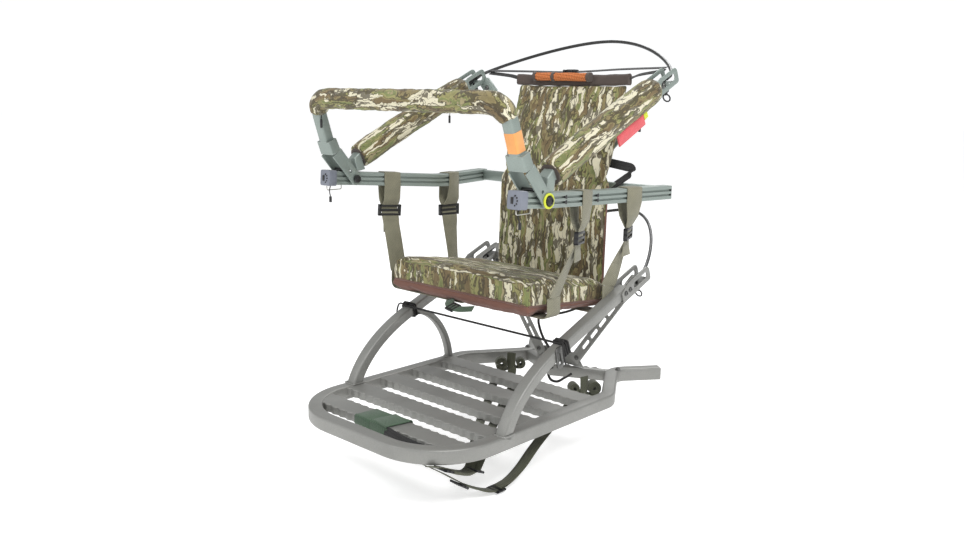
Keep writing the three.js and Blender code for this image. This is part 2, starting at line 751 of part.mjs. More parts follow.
addPair('seat_rail', cut(sweep(railOutline(), railStations()), hubHole()), railCoat);
addPair('rail_cap', railCap(), capPlastic);
add('seat_tree_bar', seatTreeBar(), railCoat);
addPair('armrest_tube', cut(armrestTube(ARMREST_TUBE), railEnvelope()), railCoat);
addPair('armrest_pad', armrestPad(), camo);
addPair('seat_bracket', bracket(seatArm(0), ARMREST_SLOPE, SEAT_BRACKET_LENGTH), railCoat);
addPair('seat_lock', lockPin(seatArm(0), ARMREST_SLOPE, SEAT_BRACKET_LENGTH), blackPlastic);
add('seat_cable', seatCable(), coatedCable);
addPair('seat_v_brace', flatBrace(point(66, 697, 530), point(252, 697, 722), 26, 0), railCoat);
addPair('fork_outer', forkPlate(FORK_SPREAD), railCoat);
addPair('fork_inner', forkPlate(-FORK_SPREAD), railCoat);
addPair('hinge_bolt', hingeBolt(), blackPlastic);
addPair('stop_rod', stopRod(), blackPlastic);
addPair('wire_bail', wireBail(), steel);
add('front_bar', frontBar(), railCoat);
add('front_bar_pad', frontPad(), camo);
add('seat_cushion', seatCushion(), camo);
add('backrest', backrest(), camo);
add('hem_strap', hemStrap(), blackWeb);
add('hang_strap_front_right', hangingStrap(415, 372), webbing);
add('hang_strap_rear_right', hangingStrap(588, 573), webbing);
add('hang_strap_front_left', hangingStrap(348, 348), webbing).scale.x = -1;
add('hang_strap_rear_left', hangingStrap(538, 540), webbing).scale.x = -1;

stand.position.y = -TUBE / 2;

export default stand;
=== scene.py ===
"""Looks for the climbing tree stand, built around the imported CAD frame. Lengths are in metres."""
import json
import math

import bmesh
import bpy
import numpy as np
from mathutils import Matrix, Vector
from mathutils.bvhtree import BVHTree


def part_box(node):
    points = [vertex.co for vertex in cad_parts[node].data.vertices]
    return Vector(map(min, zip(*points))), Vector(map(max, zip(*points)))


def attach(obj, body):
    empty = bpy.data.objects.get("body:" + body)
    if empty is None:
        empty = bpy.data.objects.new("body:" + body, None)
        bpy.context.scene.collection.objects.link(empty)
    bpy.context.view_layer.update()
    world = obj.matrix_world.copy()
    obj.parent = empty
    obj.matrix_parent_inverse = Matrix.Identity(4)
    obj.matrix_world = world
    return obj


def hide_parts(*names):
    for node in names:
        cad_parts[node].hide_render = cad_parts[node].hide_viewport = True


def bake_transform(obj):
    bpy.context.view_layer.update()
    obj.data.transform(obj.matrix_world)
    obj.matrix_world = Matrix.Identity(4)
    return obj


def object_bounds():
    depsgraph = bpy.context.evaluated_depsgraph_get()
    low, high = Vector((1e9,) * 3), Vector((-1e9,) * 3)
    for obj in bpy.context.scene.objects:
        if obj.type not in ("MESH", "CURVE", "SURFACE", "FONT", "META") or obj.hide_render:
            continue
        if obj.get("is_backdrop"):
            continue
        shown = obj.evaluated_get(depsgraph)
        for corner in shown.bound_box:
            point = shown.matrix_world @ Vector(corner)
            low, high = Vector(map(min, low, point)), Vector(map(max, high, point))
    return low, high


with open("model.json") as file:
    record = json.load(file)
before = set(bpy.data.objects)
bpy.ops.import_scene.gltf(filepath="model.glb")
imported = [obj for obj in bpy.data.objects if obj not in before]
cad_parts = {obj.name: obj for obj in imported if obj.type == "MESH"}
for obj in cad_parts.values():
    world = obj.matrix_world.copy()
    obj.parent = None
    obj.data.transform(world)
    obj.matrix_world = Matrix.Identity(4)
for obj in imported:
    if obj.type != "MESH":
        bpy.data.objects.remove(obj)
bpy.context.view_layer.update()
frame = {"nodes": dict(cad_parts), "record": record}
NODES = frame["nodes"]
BODY_OF = {node: body for body, nodes in frame["record"]["behaviour"]["bodies"].items() for node in nodes}

MM = 0.001
X = Vector((1, 0, 0))
Y = Vector((0, 1, 0))
Z = Vector((0, 0, 1))
RIGHT, LEFT = 1, -1
SIDES = {"right": RIGHT, "left": LEFT}

# ---------- driving dimensions ----------
TUBE = 32 * MM
ARM_SLOPE = math.radians(22)
ARMREST_SLOPE = math.radians(25)
TUBE_MIDDLE = TUBE / 2 / MM    # the height of the deck tube's middle, in mm
RAIL_WIDTH, RAIL_HEIGHT = 28 * MM, 31 * MM
WEB_WIDTH = 25 * MM
HANGER_WIDTH = 45 * MM
PLATFORM_BRACKET_LENGTH, SEAT_BRACKET_LENGTH = 118, 96    # mm along the slope
FRONT_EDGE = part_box("platform_frame")[0].y


def step(x, y, z):
    """A direction or an offset, given in millimetres."""
    return Vector((x, y, z)) * MM


def mm(x, y, z):
    """A place in millimetres, with y measured from the platform's front edge."""
    return step(x, y, z) + Y * FRONT_EDGE


KNEE = mm(240, 380, 178)
HUB = mm(288, 239, 517)
SEAT_BRACKET = mm(292, 604, 726)
BAR_LEAN = Vector((0, 0.9, 0.22)).normalized()    # square to the front bar's plane
SEAT_BASE_NORMAL = Vector((0, 0.1, 1)).normalized()
SEAT_SEAM = mm(0, 300, 278).dot(SEAT_BASE_NORMAL)    # the seam plane's distance from the origin


def flip(point, side):
    """The point, or its mirror image when the side is LEFT."""
    return Vector((point.x * side, point.y, point.z))


def flip_all(points, side):
    return [flip(point, side) for point in points]


def places(points):
    """The (x, y, z) places in mm as vectors."""
    return [mm(*point) for point in points]


# ---------- paths ----------
def smooth(points, steps=8):
    """A Catmull-Rom curve through the points."""
    padded = [2 * points[0] - points[1], *points, 2 * points[-1] - points[-2]]
    path = []
    for a, b, c, d in zip(padded, padded[1:], padded[2:], padded[3:]):
        square, cube = 2 * a - 5 * b + 4 * c - d, 3 * b - a - 3 * c + d
        for i in range(steps):
            t = i / steps
            path.append(0.5 * (2 * b + (c - a) * t + square * t**2 + cube * t**3))
    return path + [points[-1]]


def bezier(a, b, c, d, steps=24):
    """A cubic curve from a to d, with b and c as its handles."""
    path = []
    for i in range(steps + 1):
        t = i / steps
        path.append(a * (1 - t)**3 + 3 * b * t * (1 - t)**2 + 3 * c * t**2 * (1 - t) + d * t**3)
    return path


def rounded(corners, radii, steps=12):
    """A polyline whose inner corners are arcs, of one radius or a list of radii."""
    path = [corners[0]]
    for i in range(1, len(corners) - 1):
        back = (corners[i - 1] - corners[i]).normalized()
        ahead = (corners[i + 1] - corners[i]).normalized()
        turn = math.pi - back.angle(ahead)
        radius = radii[i - 1] if isinstance(radii, list) else radii
        reach = radius * math.tan(turn / 2)
        handle = radius * 4 / 3 * math.tan(turn / 4)
        start = corners[i] + back * reach
        end = corners[i] + ahead * reach
        path += bezier(start, start - back * handle, end - ahead * handle, end, steps)
    return path + [corners[-1]]


def both_sides(right_half):
    """From the left end to the right end; right_half starts at the middle."""
    return flip_all(reversed(right_half[1:]), LEFT) + list(right_half)


# ---------- sections ----------
def round_rect(width, height, radius, steps=4):
    section = []
    for sx, sy, start in ((1, 1, 0), (-1, 1, 90), (-1, -1, 180), (1, -1, 270)):
        for i in range(steps + 1):
            angle = math.radians(start + 90 * i / steps)
            cx = sx * (width / 2 - radius) + radius * math.cos(angle)
            cy = sy * (height / 2 - radius) + radius * math.sin(angle)
            section.append((cx, cy))
    return section


def circle(radius, sides=16):
    angles = [2 * math.pi * i / sides for i in range(sides)]
    return [(radius * math.cos(angle), radius * math.sin(angle)) for angle in angles]


# ---------- meshes ----------
def piece(name, mesh, material, body=None, node=None, sharp=35):
    """A finished object that rides on a body. One that stands for a CAD node hides the node, and takes its
    body unless another is given."""
    mesh.materials.append(material)
    mesh.polygons.foreach_set("use_smooth", [True] * len(mesh.polygons))
    mesh.set_sharp_from_angle(angle=math.radians(sharp))
    obj = linked(name, mesh)
    body = body or BODY_OF.get(node)
    if body:
        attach(obj, body)
    if node:
        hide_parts(node)
    return obj


def linked(name, data):
    """A new object in the scene."""
    obj = bpy.data.objects.new(name, data)
    bpy.context.scene.collection.objects.link(obj)
    return obj


def stand_in(node, mesh, material, **options):
    """A piece that takes the place of one CAD node."""
    return piece(f"{node}.look", mesh, material, node=node, **options)


def frames_along(path, up):
    """The section's two axes at each station. `up` is one direction, or one for each station, or None to
    carry the axes along without twist."""
    tangents = []
    for i in range(len(path)):
        chord = path[min(i + 1, len(path) - 1)] - path[max(i - 1, 0)]
        tangents.append(chord.normalized())
    axes = []
    carried = X if abs(tangents[0].x) < 0.9 else Z
    for i, tangent in enumerate(tangents):
        if up is None:
            side = (carried - tangent * carried.dot(tangent)).normalized()
            carried = side
        else:
            side = (up[i] if isinstance(up, list) else up).cross(tangent).normalized()
        axes.append((side, tangent.cross(side)))
    return axes


def tube_mesh(name, path, section, up=None, scale=None):
    """Sweeps a closed section along a path. Stores each corner's place in the section and along the path as
    'grain'. The section is a list of points, or a function of the distance along the path that gives one."""
    axes = frames_along(path, up)
    shape_at = section if callable(section) else lambda at: section
    sides = len(shape_at(0))
    lengths = [0.0]
    for a, b in zip(path, path[1:]):
        lengths.append(lengths[-1] + (b - a).length)
    points, grain = [], []
    for i, (centre, (side, third)) in enumerate(zip(path, axes)):
        grow = scale(lengths[i], lengths[-1]) if scale else 1
        for a, b in shape_at(lengths[i]):
            points.append(centre + side * a * grow + third * b * grow)
            grain.append((a * grow, b * grow, lengths[i]))
    faces = []
    for i in range(len(path) - 1):
        for j in range(sides):
            k = (j + 1) % sides
            faces.append((i * sides + j, (i + 1) * sides + j, (i + 1) * sides + k, i * sides + k))
    last = (len(path) - 1) * sides
    faces.append(tuple(range(sides)))
    faces.append(tuple(last + j for j in reversed(range(sides))))
    mesh = bpy.data.meshes.new(name)
    mesh.from_pydata(points, [], faces)
    mesh.validate()
    layer = mesh.attributes.new("grain", "FLOAT_VECTOR", "POINT")
    layer.data.foreach_set("vector", np.array(grain, np.float32).ravel())
    work = bmesh.new()
    work.from_mesh(mesh)
    bmesh.ops.recalc_face_normals(work, faces=work.faces)
    work.to_mesh(mesh)
    work.free()
    return mesh


def tube(name, path, section, material, body, up=None, **options):
    return piece(name, tube_mesh(name, path, section, up), material, body, **options)


def lathe(name, profile, origin, axis, material, body, steps=32):
    """Turns a (radius, height) profile round an axis through origin."""
    axis = axis.normalized()
    side = axis.orthogonal().normalized()
    third = axis.cross(side)
    work = bmesh.new()
    rings = []
    for radius, height in profile:
        if radius < 1e-6:
            rings.append([work.verts.new(origin + axis * height)])
            continue
        ring = []
        for i in range(steps):
            angle = 2 * math.pi * i / steps
            out = side * math.cos(angle) + third * math.sin(angle)
            ring.append(work.verts.new(origin + axis * height + out * radius))
        rings.append(ring)
    for low, high in zip(rings, rings[1:]):
        for i in range(steps):
            j = (i + 1) % steps
            corners = [low[i % len(low)], low[j % len(low)], high[j % len(high)], high[i % len(high)]]
            unique = list(dict.fromkeys(corners))
            if len(unique) > 2:
                work.faces.new(unique)
    bmesh.ops.remove_doubles(work, verts=work.verts, dist=0.001 * MM)
    bmesh.ops.recalc_face_normals(work, faces=work.faces)
    mesh = bpy.data.meshes.new(name)
    work.to_mesh(mesh)
    work.free()
    return piece(name, mesh, material, body)


def block_mesh(name, size, place, bevel=1.5 * MM):
    """A box with rounded edges, centred on `place`."""
    work = bmesh.new()
    bmesh.ops.create_cube(work, size=1)
    bmesh.ops.scale(work, vec=Vector(size), verts=work.verts)
    bmesh.ops.bevel(work, geom=work.edges[:], offset=bevel, segments=3, profile=0.5, affect="EDGES")
    bmesh.ops.transform(work, matrix=place, verts=work.verts)
    mesh = bpy.data.meshes.new(name)
    work.to_mesh(mesh)
    work.free()
    return mesh


def basis(origin, x_dir, y_dir):
    """A placing matrix with its first two axes along the given directions."""
    x_dir = x_dir.normalized()
    z_dir = x_dir.cross(y_dir).normalized()
    y_dir = z_dir.cross(x_dir)
    matrix = Matrix((x_dir, y_dir, z_dir)).transposed().to_4x4()
    matrix.translation = origin
    return matrix


def merged(name, meshes):
    """Several meshes as one."""
    work = bmesh.new()
    for mesh in meshes:
        work.from_mesh(mesh)
    joined = bpy.data.meshes.new(name)
    work.to_mesh(joined)
    work.free()
    for mesh in meshes:
        bpy.data.meshes.remove(mesh)
    return joined


def refined(node, material, bevel=0.9 * MM):
    """A CAD node with its flat faces made whole again and its edges rounded."""
    work = bmesh.new()
    work.from_mesh(NODES[node].data)
    bmesh.ops.remove_doubles(work, verts=work.verts, dist=0.02 * MM)
    bmesh.ops.dissolve_limit(work, angle_limit=math.radians(1.5), verts=work.verts, edges=work.edges)
    edges = [e for e in work.edges if e.is_manifold and e.calc_face_angle(0) > math.radians(30)]
    bmesh.ops.bevel(work, geom=edges, offset=bevel, segments=2, profile=0.5, affect="EDGES",
                    clamp_overlap=True)
    bmesh.ops.recalc_face_normals(work, faces=work.faces)
    mesh = bpy.data.meshes.new(node)
    work.to_mesh(mesh)
    work.free()
    return stand_in(node, mesh, material)


# ---------- materials ----------
class Shader:
    """A material being wired up: each call adds one node and returns an output."""

    def __init__(self, name, roughness=0.6, metallic=0.0):
        self.material = bpy.data.materials.new(name)
        self.material.use_nodes = True
        self.tree = self.material.node_tree
        self.surface = self.tree.nodes["Principled BSDF"]
        self.put(roughness, self.surface.inputs["Roughness"])
        self.put(metallic, self.surface.inputs["Metallic"])

    def put(self, value, socket):
        if isinstance(value, bpy.types.NodeSocket):
            self.tree.links.new(value, socket)
        else:
            socket.default_value = value

    def node(self, kind, inputs=None, out=0, **settings):
        made = self.tree.nodes.new("ShaderNode" + kind)
        for key, value in settings.items():
            setattr(made, key, value)
        for key, value in (inputs or {}).items():
            self.put(value, made.inputs[key])
        return made.outputs[out]

    def place(self):
        return self.node("TexCoord", out="Object")

    def grain(self):
        return self.node("Attribute", out="Vector", attribute_name="grain")

    def stretch(self, vector, scale, offset=(0, 0, 0)):
        return self.node("Mapping", {"Vector": vector, "Scale": scale, "Location": offset})

    def noise(self, vector, scale=1.0, detail=2.0, roughness=0.5, out="Fac"):
        inputs = {"Vector": vector, "Scale": scale, "Detail": detail, "Roughness": roughness}
        return self.node("TexNoise", inputs, out=out)

    def math(self, operation, a, b=0.0):
        return self.node("Math", {0: a, 1: b}, operation=operation)

    def vector(self, operation, a, b, out=0):
        return self.node("VectorMath", {0: a, 1: b}, out=out, operation=operation)

    def split(self, vector):
        """The three numbers of a vector."""
        parts = self.tree.nodes.new("ShaderNodeSeparateXYZ")
        self.put(vector, parts.inputs[0])
        return parts.outputs

    def wave(self, phase):
        """A sine wave between 0 and 1."""
        return self.math("ADD", self.math("MULTIPLY", self.math("SINE", phase), 0.5), 0.5)

    def ramp(self, value, stops, interpolation="LINEAR"):
        """Colour stops as (position, colour) or grey stops as (position, level)."""
        made = self.tree.nodes.new("ShaderNodeValToRGB")
        self.put(value, made.inputs[0])
        made.color_ramp.interpolation = interpolation
        elements = made.color_ramp.elements
        while len(elements) < len(stops):
            elements.new(0.5)
        for element, (position, colour) in zip(elements, stops):
            element.position = position
            grey = isinstance(colour, (int, float))
            element.color = (colour, colour, colour, 1) if grey else (*colour, 1)
        return made.outputs[0]

    def mix(self, factor, a, b, blend="MIX"):
        """Blends two colours, of which either may be a plain (r, g, b)."""
        a = (*a, 1) if isinstance(a, tuple) and len(a) == 3 else a
        b = (*b, 1) if isinstance(b, tuple) and len(b) == 3 else b
        return self.node("Mix", {0: factor, 6: a, 7: b}, out=2, data_type="RGBA", blend_type=blend)

    def finish(self, colour, roughness=None, bump=None, depth=0.2 * MM, sheen=0.0):
        self.put(colour, self.surface.inputs["Base Color"])
        if roughness is not None:
            self.put(roughness, self.surface.inputs["Roughness"])
        if bump is not None:
            normal = self.node("Bump", {"Height": bump, "Distance": depth, "Strength": 1.0})
            self.put(normal, self.surface.inputs["Normal"])
        if sheen:
            self.put(sheen, self.surface.inputs["Sheen Weight"])
            self.put(0.5, self.surface.inputs["Sheen Roughness"])
        return self.material


def linear(red, green, blue):
    """An 8-bit sRGB colour as linear light."""
    def one(value):
        value /= 255
        return value / 12.92 if value <= 0.04045 else ((value + 0.055) / 1.055)**2.4
    return (one(red), one(green), one(blue))


def scaled(colour, factor, lift=0.0):
    return tuple(min(1, c * factor + lift) for c in colour)


def edge_mask(shader, radius):
    """Bright where an outer edge lies within the radius."""
    rounded_normal = shader.node("Bevel", {"Radius": radius}, samples=4)
    true_normal = shader.node("NewGeometry", out="Normal")
    likeness = shader.vector("DOT_PRODUCT", rounded_normal, true_normal, "Value")
    return shader.ramp(likeness, [(0.80, 1.0), (0.97, 0.0)])


def powder_coat(name, colour, worn_and_edge_highlight, roughness=0.42):
    """Cloudy paint with a fine grit and scratches, and a lighter tone along the edges in patches: a painted
    edge highlight, partly wear.
    """
    shader = Shader(name, roughness, 0.35)
    place = shader.place()
    cloud = shader.noise(place, 14, 3)
    grit = shader.noise(place, 900, 2)
    scratch = shader.noise(shader.stretch(place, (1, 1, 9)), 90, 5, 0.7)
    tone = shader.mix(cloud, colour, scaled(colour, 0.82))
    speck = shader.ramp(grit, [(0.35, 0.88), (0.65, 1.06)])
    tone = shader.mix(1.0, tone, speck, "MULTIPLY")
    scuffs = shader.ramp(scratch, [(0.66, 0.0), (0.74, 0.25)])
    patches = shader.ramp(cloud, [(0.3, 0.1), (0.7, 0.75)])
    # painted edge highlight: the rounded edges turn lighter in patches, partly wear; the scratches take the
    # same lighter tone as wear
    edge_highlight_and_wear = shader.math("MULTIPLY", edge_mask(shader, 1.6 * MM), patches)
    tone = shader.mix(shader.math("MAXIMUM", edge_highlight_and_wear, scuffs), tone, worn_and_edge_highlight)
    rough = shader.ramp(cloud, [(0.2, roughness - 0.08), (0.8, roughness + 0.1)])
    return shader.finish(tone, rough, grit, 0.12 * MM)


def camo_cloth(name, border=None, pale_from=0.535):
    """Generic bark-like camouflage: long wavy patches of olive, brown and cream, edged with thin dark lines.
    border(shader) gives a mask of where plain brown cloth takes over. A higher pale_from leaves less cream."""
    shader = Shader(name, 0.92)
    grain = shader.grain()
    warped = grain
    for scale, reach in (((20, 20, 18), 0.020), ((36, 36, 48), 0.0120), ((150, 150, 140), 0.0022)):
        bend = shader.noise(shader.stretch(grain, scale), 1, 2, out="Color")
        bend = shader.vector("SUBTRACT", bend, (0.5, 0.5, 0.5))
        bend = shader.vector("MULTIPLY", bend, (reach, reach, reach * 0.3))
        warped = shader.vector("ADD", warped, bend)

    def streaks(width, length, shift):
        return shader.noise(shader.stretch(warped, (1 / width, 1 / width, 1 / length), shift), 1, 1)

    def contour(height, level, half_width):
        """1 on a band round the places where the height is at the level."""
        distance = shader.math("ABSOLUTE", shader.math("SUBTRACT", height, level))
        return shader.math("LESS_THAN", distance, half_width)

    patch = streaks(0.020, 0.110, (3, 1, 2))
    tone = shader.ramp(patch, [
        (0.00, linear(112, 96, 66)),
        (0.42, linear(132, 120, 82)),
        (0.50, linear(140, 136, 88)),
        (0.58, linear(118, 124, 76)),
        (0.66, linear(152, 142, 106)),
    ], "CONSTANT")
    shade = shader.ramp(streaks(0.006, 0.045, (11, 5, 7)), [(0.3, 0.80), (0.7, 1.12)])
    tone = shader.mix(1.0, tone, shade, "MULTIPLY")
    pale = streaks(0.0135, 0.090, (8, 3, 9))
    pale_mask = shader.ramp(pale, [(pale_from, 0.0), (pale_from + 0.015, 1.0)])
    tone = shader.mix(pale_mask, tone, shader.mix(shade, linear(178, 168, 134), linear(214, 208, 182)))
    reach = shader.ramp(streaks(0.026, 0.040, (2, 17, 5)), [(0.36, 0.006), (0.58, 0.040)])
    lines = shader.math("MAXIMUM", contour(pale, pale_from, reach), contour(patch, 0.50, reach))
    twig = streaks(0.0120, 0.075, (14, 6, 1))
    lines = shader.math("MAXIMUM", lines, contour(twig, 0.50, reach))
    tone = shader.mix(shader.math("MULTIPLY", lines, 0.84), tone, linear(66, 58, 42))
    if border:
        tone = shader.mix(border(shader), tone, linear(112, 76, 64))
    weave = cloth_weave(shader, grain, 1.1 * MM)
    tone = shader.mix(1.0, tone, shader.ramp(weave, [(0.0, 0.90), (1.0, 1.05)]), "MULTIPLY")
    return shader.finish(tone, 0.92, weave, 0.25 * MM, sheen=0.15)


def below_plane(offset, normal):
    """A border that is plain on the far side of a plane."""
    def mask(shader):
        depth = shader.vector("DOT_PRODUCT", shader.place(), normal, "Value")
        return shader.math("LESS_THAN", depth, offset)
    return mask


def beyond_sides(half_width):
    """A border that is plain outside a half width."""
    def mask(shader):
        aside = shader.math("ABSOLUTE", shader.split(shader.place())[0])
        return shader.math("GREATER_THAN", aside, half_width)
    return mask


def cloth_weave(shader, grain, pitch):
    """A plain weave: two sets of threads crossing at right angles."""
    vector = shader.stretch(grain, (1 / pitch,) * 3)
    inputs = {"Vector": vector, "Scale": 1 / 6.283, "Distortion": 0.6, "Detail": 1.0}
    threads = [shader.node("TexWave", inputs, out="Fac", bands_direction=axis) for axis in "XYZ"]
    pair = shader.math("MAXIMUM", threads[0], threads[1])
    return shader.math("MULTIPLY", shader.math("ADD", pair, threads[2]), 0.5)


def plain_cloth(name, colour, pitch=1.2 * MM):
    """Woven cloth of one colour, a little uneven."""
    shader = Shader(name)
    weave = cloth_weave(shader, shader.grain(), pitch)
    cloud = shader.noise(shader.place(), 30, 4)
    tone = shader.mix(cloud, scaled(colour, 0.7), scaled(colour, 1.25))
    tone = shader.mix(1.0, tone, shader.ramp(weave, [(0.0, 0.78), (1.0, 1.1)]), "MULTIPLY")
    return shader.finish(tone, 0.9, weave, 0.3 * MM, sheen=0.3)


def webbing(name, colour):
    """Ribbed strap: chevron ribs along its length, with painted shade between the ribs."""
    rib_pitch, chevron = 3.4 * MM, 3.1 * MM
    shader = Shader(name)
    _, across, along = shader.split(shader.grain())
    fold = shader.math("PINGPONG", shader.math("ADD", across, 1.0), chevron)
    rib = shader.wave(shader.math("MULTIPLY", shader.math("ADD", along, fold), 2 * math.pi / rib_pitch))
    cloud = shader.noise(shader.place(), 40, 4)
    tone = shader.mix(cloud, scaled(colour, 0.75), scaled(colour, 1.2))
    # painted shade: the colour darker in the valleys between the ribs
    tone = shader.mix(1.0, tone, shader.ramp(rib, [(0.0, 0.50), (0.7, 1.12)]), "MULTIPLY")
    return shader.finish(tone, 0.8, rib, 0.5 * MM, sheen=0.2)


def braid(name, colour, pitch=3 * MM):
    """Braided cord: two spirals of strands, with painted shade between the strands."""
    shader = Shader(name)
    a, b, along = shader.split(shader.grain())
    around = shader.math("ARCTAN2", b, a)
    along = shader.math("MULTIPLY", along, 2 * math.pi / pitch)
    strands = []
    for turns in (2.0, -2.0):
        strands.append(shader.wave(shader.math("ADD", shader.math("MULTIPLY", around, turns), along)))
    knit = shader.math("MAXIMUM", *strands)
    # painted shade: the colour darkened to about a third in the crevices between the strands
    return shader.finish(shader.mix(knit, scaled(colour, 0.35), colour), 0.75, knit, 0.5 * MM)


def moulded(name, colour, roughness, speckle=0.25):
    """Moulded plastic or rubber with a fine spark-eroded texture, lighter along its edges as a painted edge
    highlight.
    """
    shader = Shader(name)
    place = shader.place()
    grit = shader.noise(place, 1400, 2)
    cloud = shader.noise(place, 25, 3)
    tone = shader.mix(cloud, colour, scaled(colour, 1 + speckle))
    # painted edge highlight: the edges lighter than the rest of the part
    edges = shader.math("MULTIPLY", edge_mask(shader, 0.8 * MM), 0.35)
    tone = shader.mix(edges, tone, scaled(colour, 2.2, 0.02))
    rough = shader.ramp(cloud, [(0.3, roughness - 0.06), (0.7, roughness + 0.1)])
    return shader.finish(tone, rough, grit, 0.08 * MM)


def plated_steel(name, colour, roughness=0.28):
    """Bright metal with faint brush marks."""
    shader = Shader(name, metallic=1.0)
    brushed = shader.noise(shader.stretch(shader.place(), (40, 40, 600)), 1, 3)
    tone = shader.mix(brushed, colour, scaled(colour, 0.8))
    rough = shader.ramp(brushed, [(0.3, roughness - 0.05), (0.7, roughness + 0.15)])
    return shader.finish(tone, rough, brushed, 0.03 * MM)


# The second colour is the lighter edge tone: a painted edge highlight, partly wear, and also the colour of the
# scratches.
DECK_PAINT = powder_coat("deck_paint", linear(144, 144, 140), linear(196, 192, 186))
RAIL_PAINT = powder_coat("rail_paint", linear(146, 157, 151), linear(192, 200, 194))
CAMO = camo_cloth("camo_cloth", pale_from=0.55)
SEAT_CAMO = camo_cloth("seat_camo", below_plane(SEAT_SEAM, SEAT_BASE_NORMAL))
BACK_CAMO = camo_cloth("back_camo", beyond_sides(166 * MM))
BROWN_CLOTH = plain_cloth("brown_cloth", linear(104, 72, 60))
# dark cloth for the hem sleeve and roll bands, and also painted shade in the pads' open ends
DARK_CLOTH_AND_SHADE = plain_cloth("dark_cloth_and_shade", linear(74, 62, 56))
ORANGE_CORD = braid("orange_cord", linear(208, 122, 66), 5 * MM)
LABEL_CLOTH = plain_cloth("label_cloth", linear(232, 160, 92), 0.9 * MM)
RED_CLOTH = plain_cloth("red_cloth", linear(216, 82, 88), 0.9 * MM)
WEBBING = webbing("olive_webbing", linear(134, 131, 110))
FOOT_WEB = webbing("dark_webbing", linear(80, 82, 64))
BLACK_WEB = webbing("black_webbing", linear(34, 33, 33))
GREEN_WEB = webbing("green_webbing", linear(70, 96, 72))
CORD = braid("black_cord", linear(40, 39, 38))
CABLE = moulded("vinyl_cable", linear(34, 34, 34), 0.35)
BLACK = moulded("black_plastic", linear(30, 30, 31), 0.4)
CAP = moulded("cap_plastic", linear(112, 116, 126), 0.5)
SIGNAL = moulded("signal_ring", linear(196, 204, 52), 0.45, 0.1)
STEEL = plated_steel("plated_steel", linear(206, 204, 198))
DARK_STEEL = plated_steel("dark_steel", linear(112, 112, 110), 0.4)


# ---------- padded fabric ----------
CLOTH_FRAMES = 20


def simulate(obj, voxel, pressure, cap, pinned=None):
    """Swells a closed shell like filled cloth, holds each point within `cap` of its start, and applies the
    result."""
    remesh = obj.modifiers.new("remesh", "REMESH")
    remesh.mode = "VOXEL"
    remesh.voxel_size = voxel
    bake(obj)
    rest = points_of(obj)
    settings = obj.modifiers.new("cloth", "CLOTH").settings
    settings.use_pressure = True
    settings.uniform_pressure_force = pressure
    settings.effector_weights.gravity = 0
    settings.quality = 6
    settings.mass = 0.3
    settings.tension_stiffness = 12
    settings.compression_stiffness = 12
    settings.bending_stiffness = 0.4
    if pinned:
        group = obj.vertex_groups.new(name="pinned")
        for i in np.nonzero(pinned(rest))[0]:
            group.add([int(i)], 1.0, "REPLACE")
        settings.vertex_group_mass = "pinned"
    scene = bpy.context.scene
    for number in range(1, CLOTH_FRAMES + 1):
        scene.frame_set(number)
    bake(obj)
    scene.frame_set(1)
    moved = points_of(obj) - rest
    distance = np.linalg.norm(moved, axis=1, keepdims=True)
    put_points(obj, rest + moved * np.minimum(1.0, cap / np.maximum(distance, 1e-9)))


def bake(obj):
    """Replaces the object's mesh by the result of its modifiers."""
    graph = bpy.context.evaluated_depsgraph_get()
    graph.update()
    mesh = bpy.data.meshes.new_from_object(obj.evaluated_get(graph))
    old = obj.data
    obj.modifiers.clear()
    obj.data = mesh
    bpy.data.meshes.remove(old)


def points_of(obj):
    flat = np.zeros(len(obj.data.vertices) * 3)
    obj.data.vertices.foreach_get("co", flat)
    return flat.reshape(-1, 3)


def normals_of(obj):
    flat = np.zeros(len(obj.data.vertices) * 3)
    obj.data.vertices.foreach_get("normal", flat)
    return flat.reshape(-1, 3)


def put_points(obj, points):
    obj.data.vertices.foreach_set("co", points.ravel())
    obj.data.update()


def subdivide(obj):
    obj.modifiers.new("smooth", "SUBSURF").levels = 1
    bake(obj)


def set_grain(obj, mapping):
    """Fills the 'grain' of each face corner from its point and its face's normal."""
    mesh = obj.data
    if "grain" in mesh.attributes:
        mesh.attributes.remove(mesh.attributes["grain"])
    points = points_of(obj)
    normals = np.zeros(len(mesh.polygons) * 3)
    mesh.polygons.foreach_get("normal", normals)
    totals = np.zeros(len(mesh.polygons), int)
    mesh.polygons.foreach_get("loop_total", totals)
    face_of_corner = np.repeat(np.arange(len(mesh.polygons)), totals)
    corner_points = np.zeros(len(mesh.loops), int)
    mesh.loops.foreach_get("vertex_index", corner_points)
    values = mapping(points[corner_points], normals.reshape(-1, 3)[face_of_corner])
    layer = mesh.attributes.new("grain", "FLOAT_VECTOR", "CORNER")
    layer.data.foreach_set("vector", values.astype(np.float32).ravel())


def ripple(points, scale, seed):
    """A smooth made-up height of about -1 to 1 at each point: the sum of five waves in random directions."""
    random = np.random.default_rng(seed)
    total = np.zeros(len(points))
    for octave in range(5):
        direction = random.normal(size=3)
        direction /= np.linalg.norm(direction)
        phase = random.uniform(0, 2 * math.pi)
        frequency = 2 * math.pi / (scale / (1 + 0.7 * octave))
        total += np.sin(points @ direction * frequency + phase) / (1 + octave)
    return total / 2.3


# ---------- metalwork ----------
def along_slope(origin, slope, run, lift=0.0, aside=0.0):
    """A point run mm up the slope from the origin, lift mm square to it and aside mm outwards."""
    way = Vector((0, math.cos(slope), math.sin(slope)))
    up = Vector((0, -math.sin(slope), math.cos(slope)))
    return origin + (way * run + up * lift + X * aside) * MM


def on_arm(run, lift=0.0, aside=0.0):
    return along_slope(KNEE, ARM_SLOPE, run, lift, aside)


def on_armrest(run, lift=0.0, aside=0.0):
    return along_slope(SEAT_BRACKET, ARMREST_SLOPE, run, lift, aside)


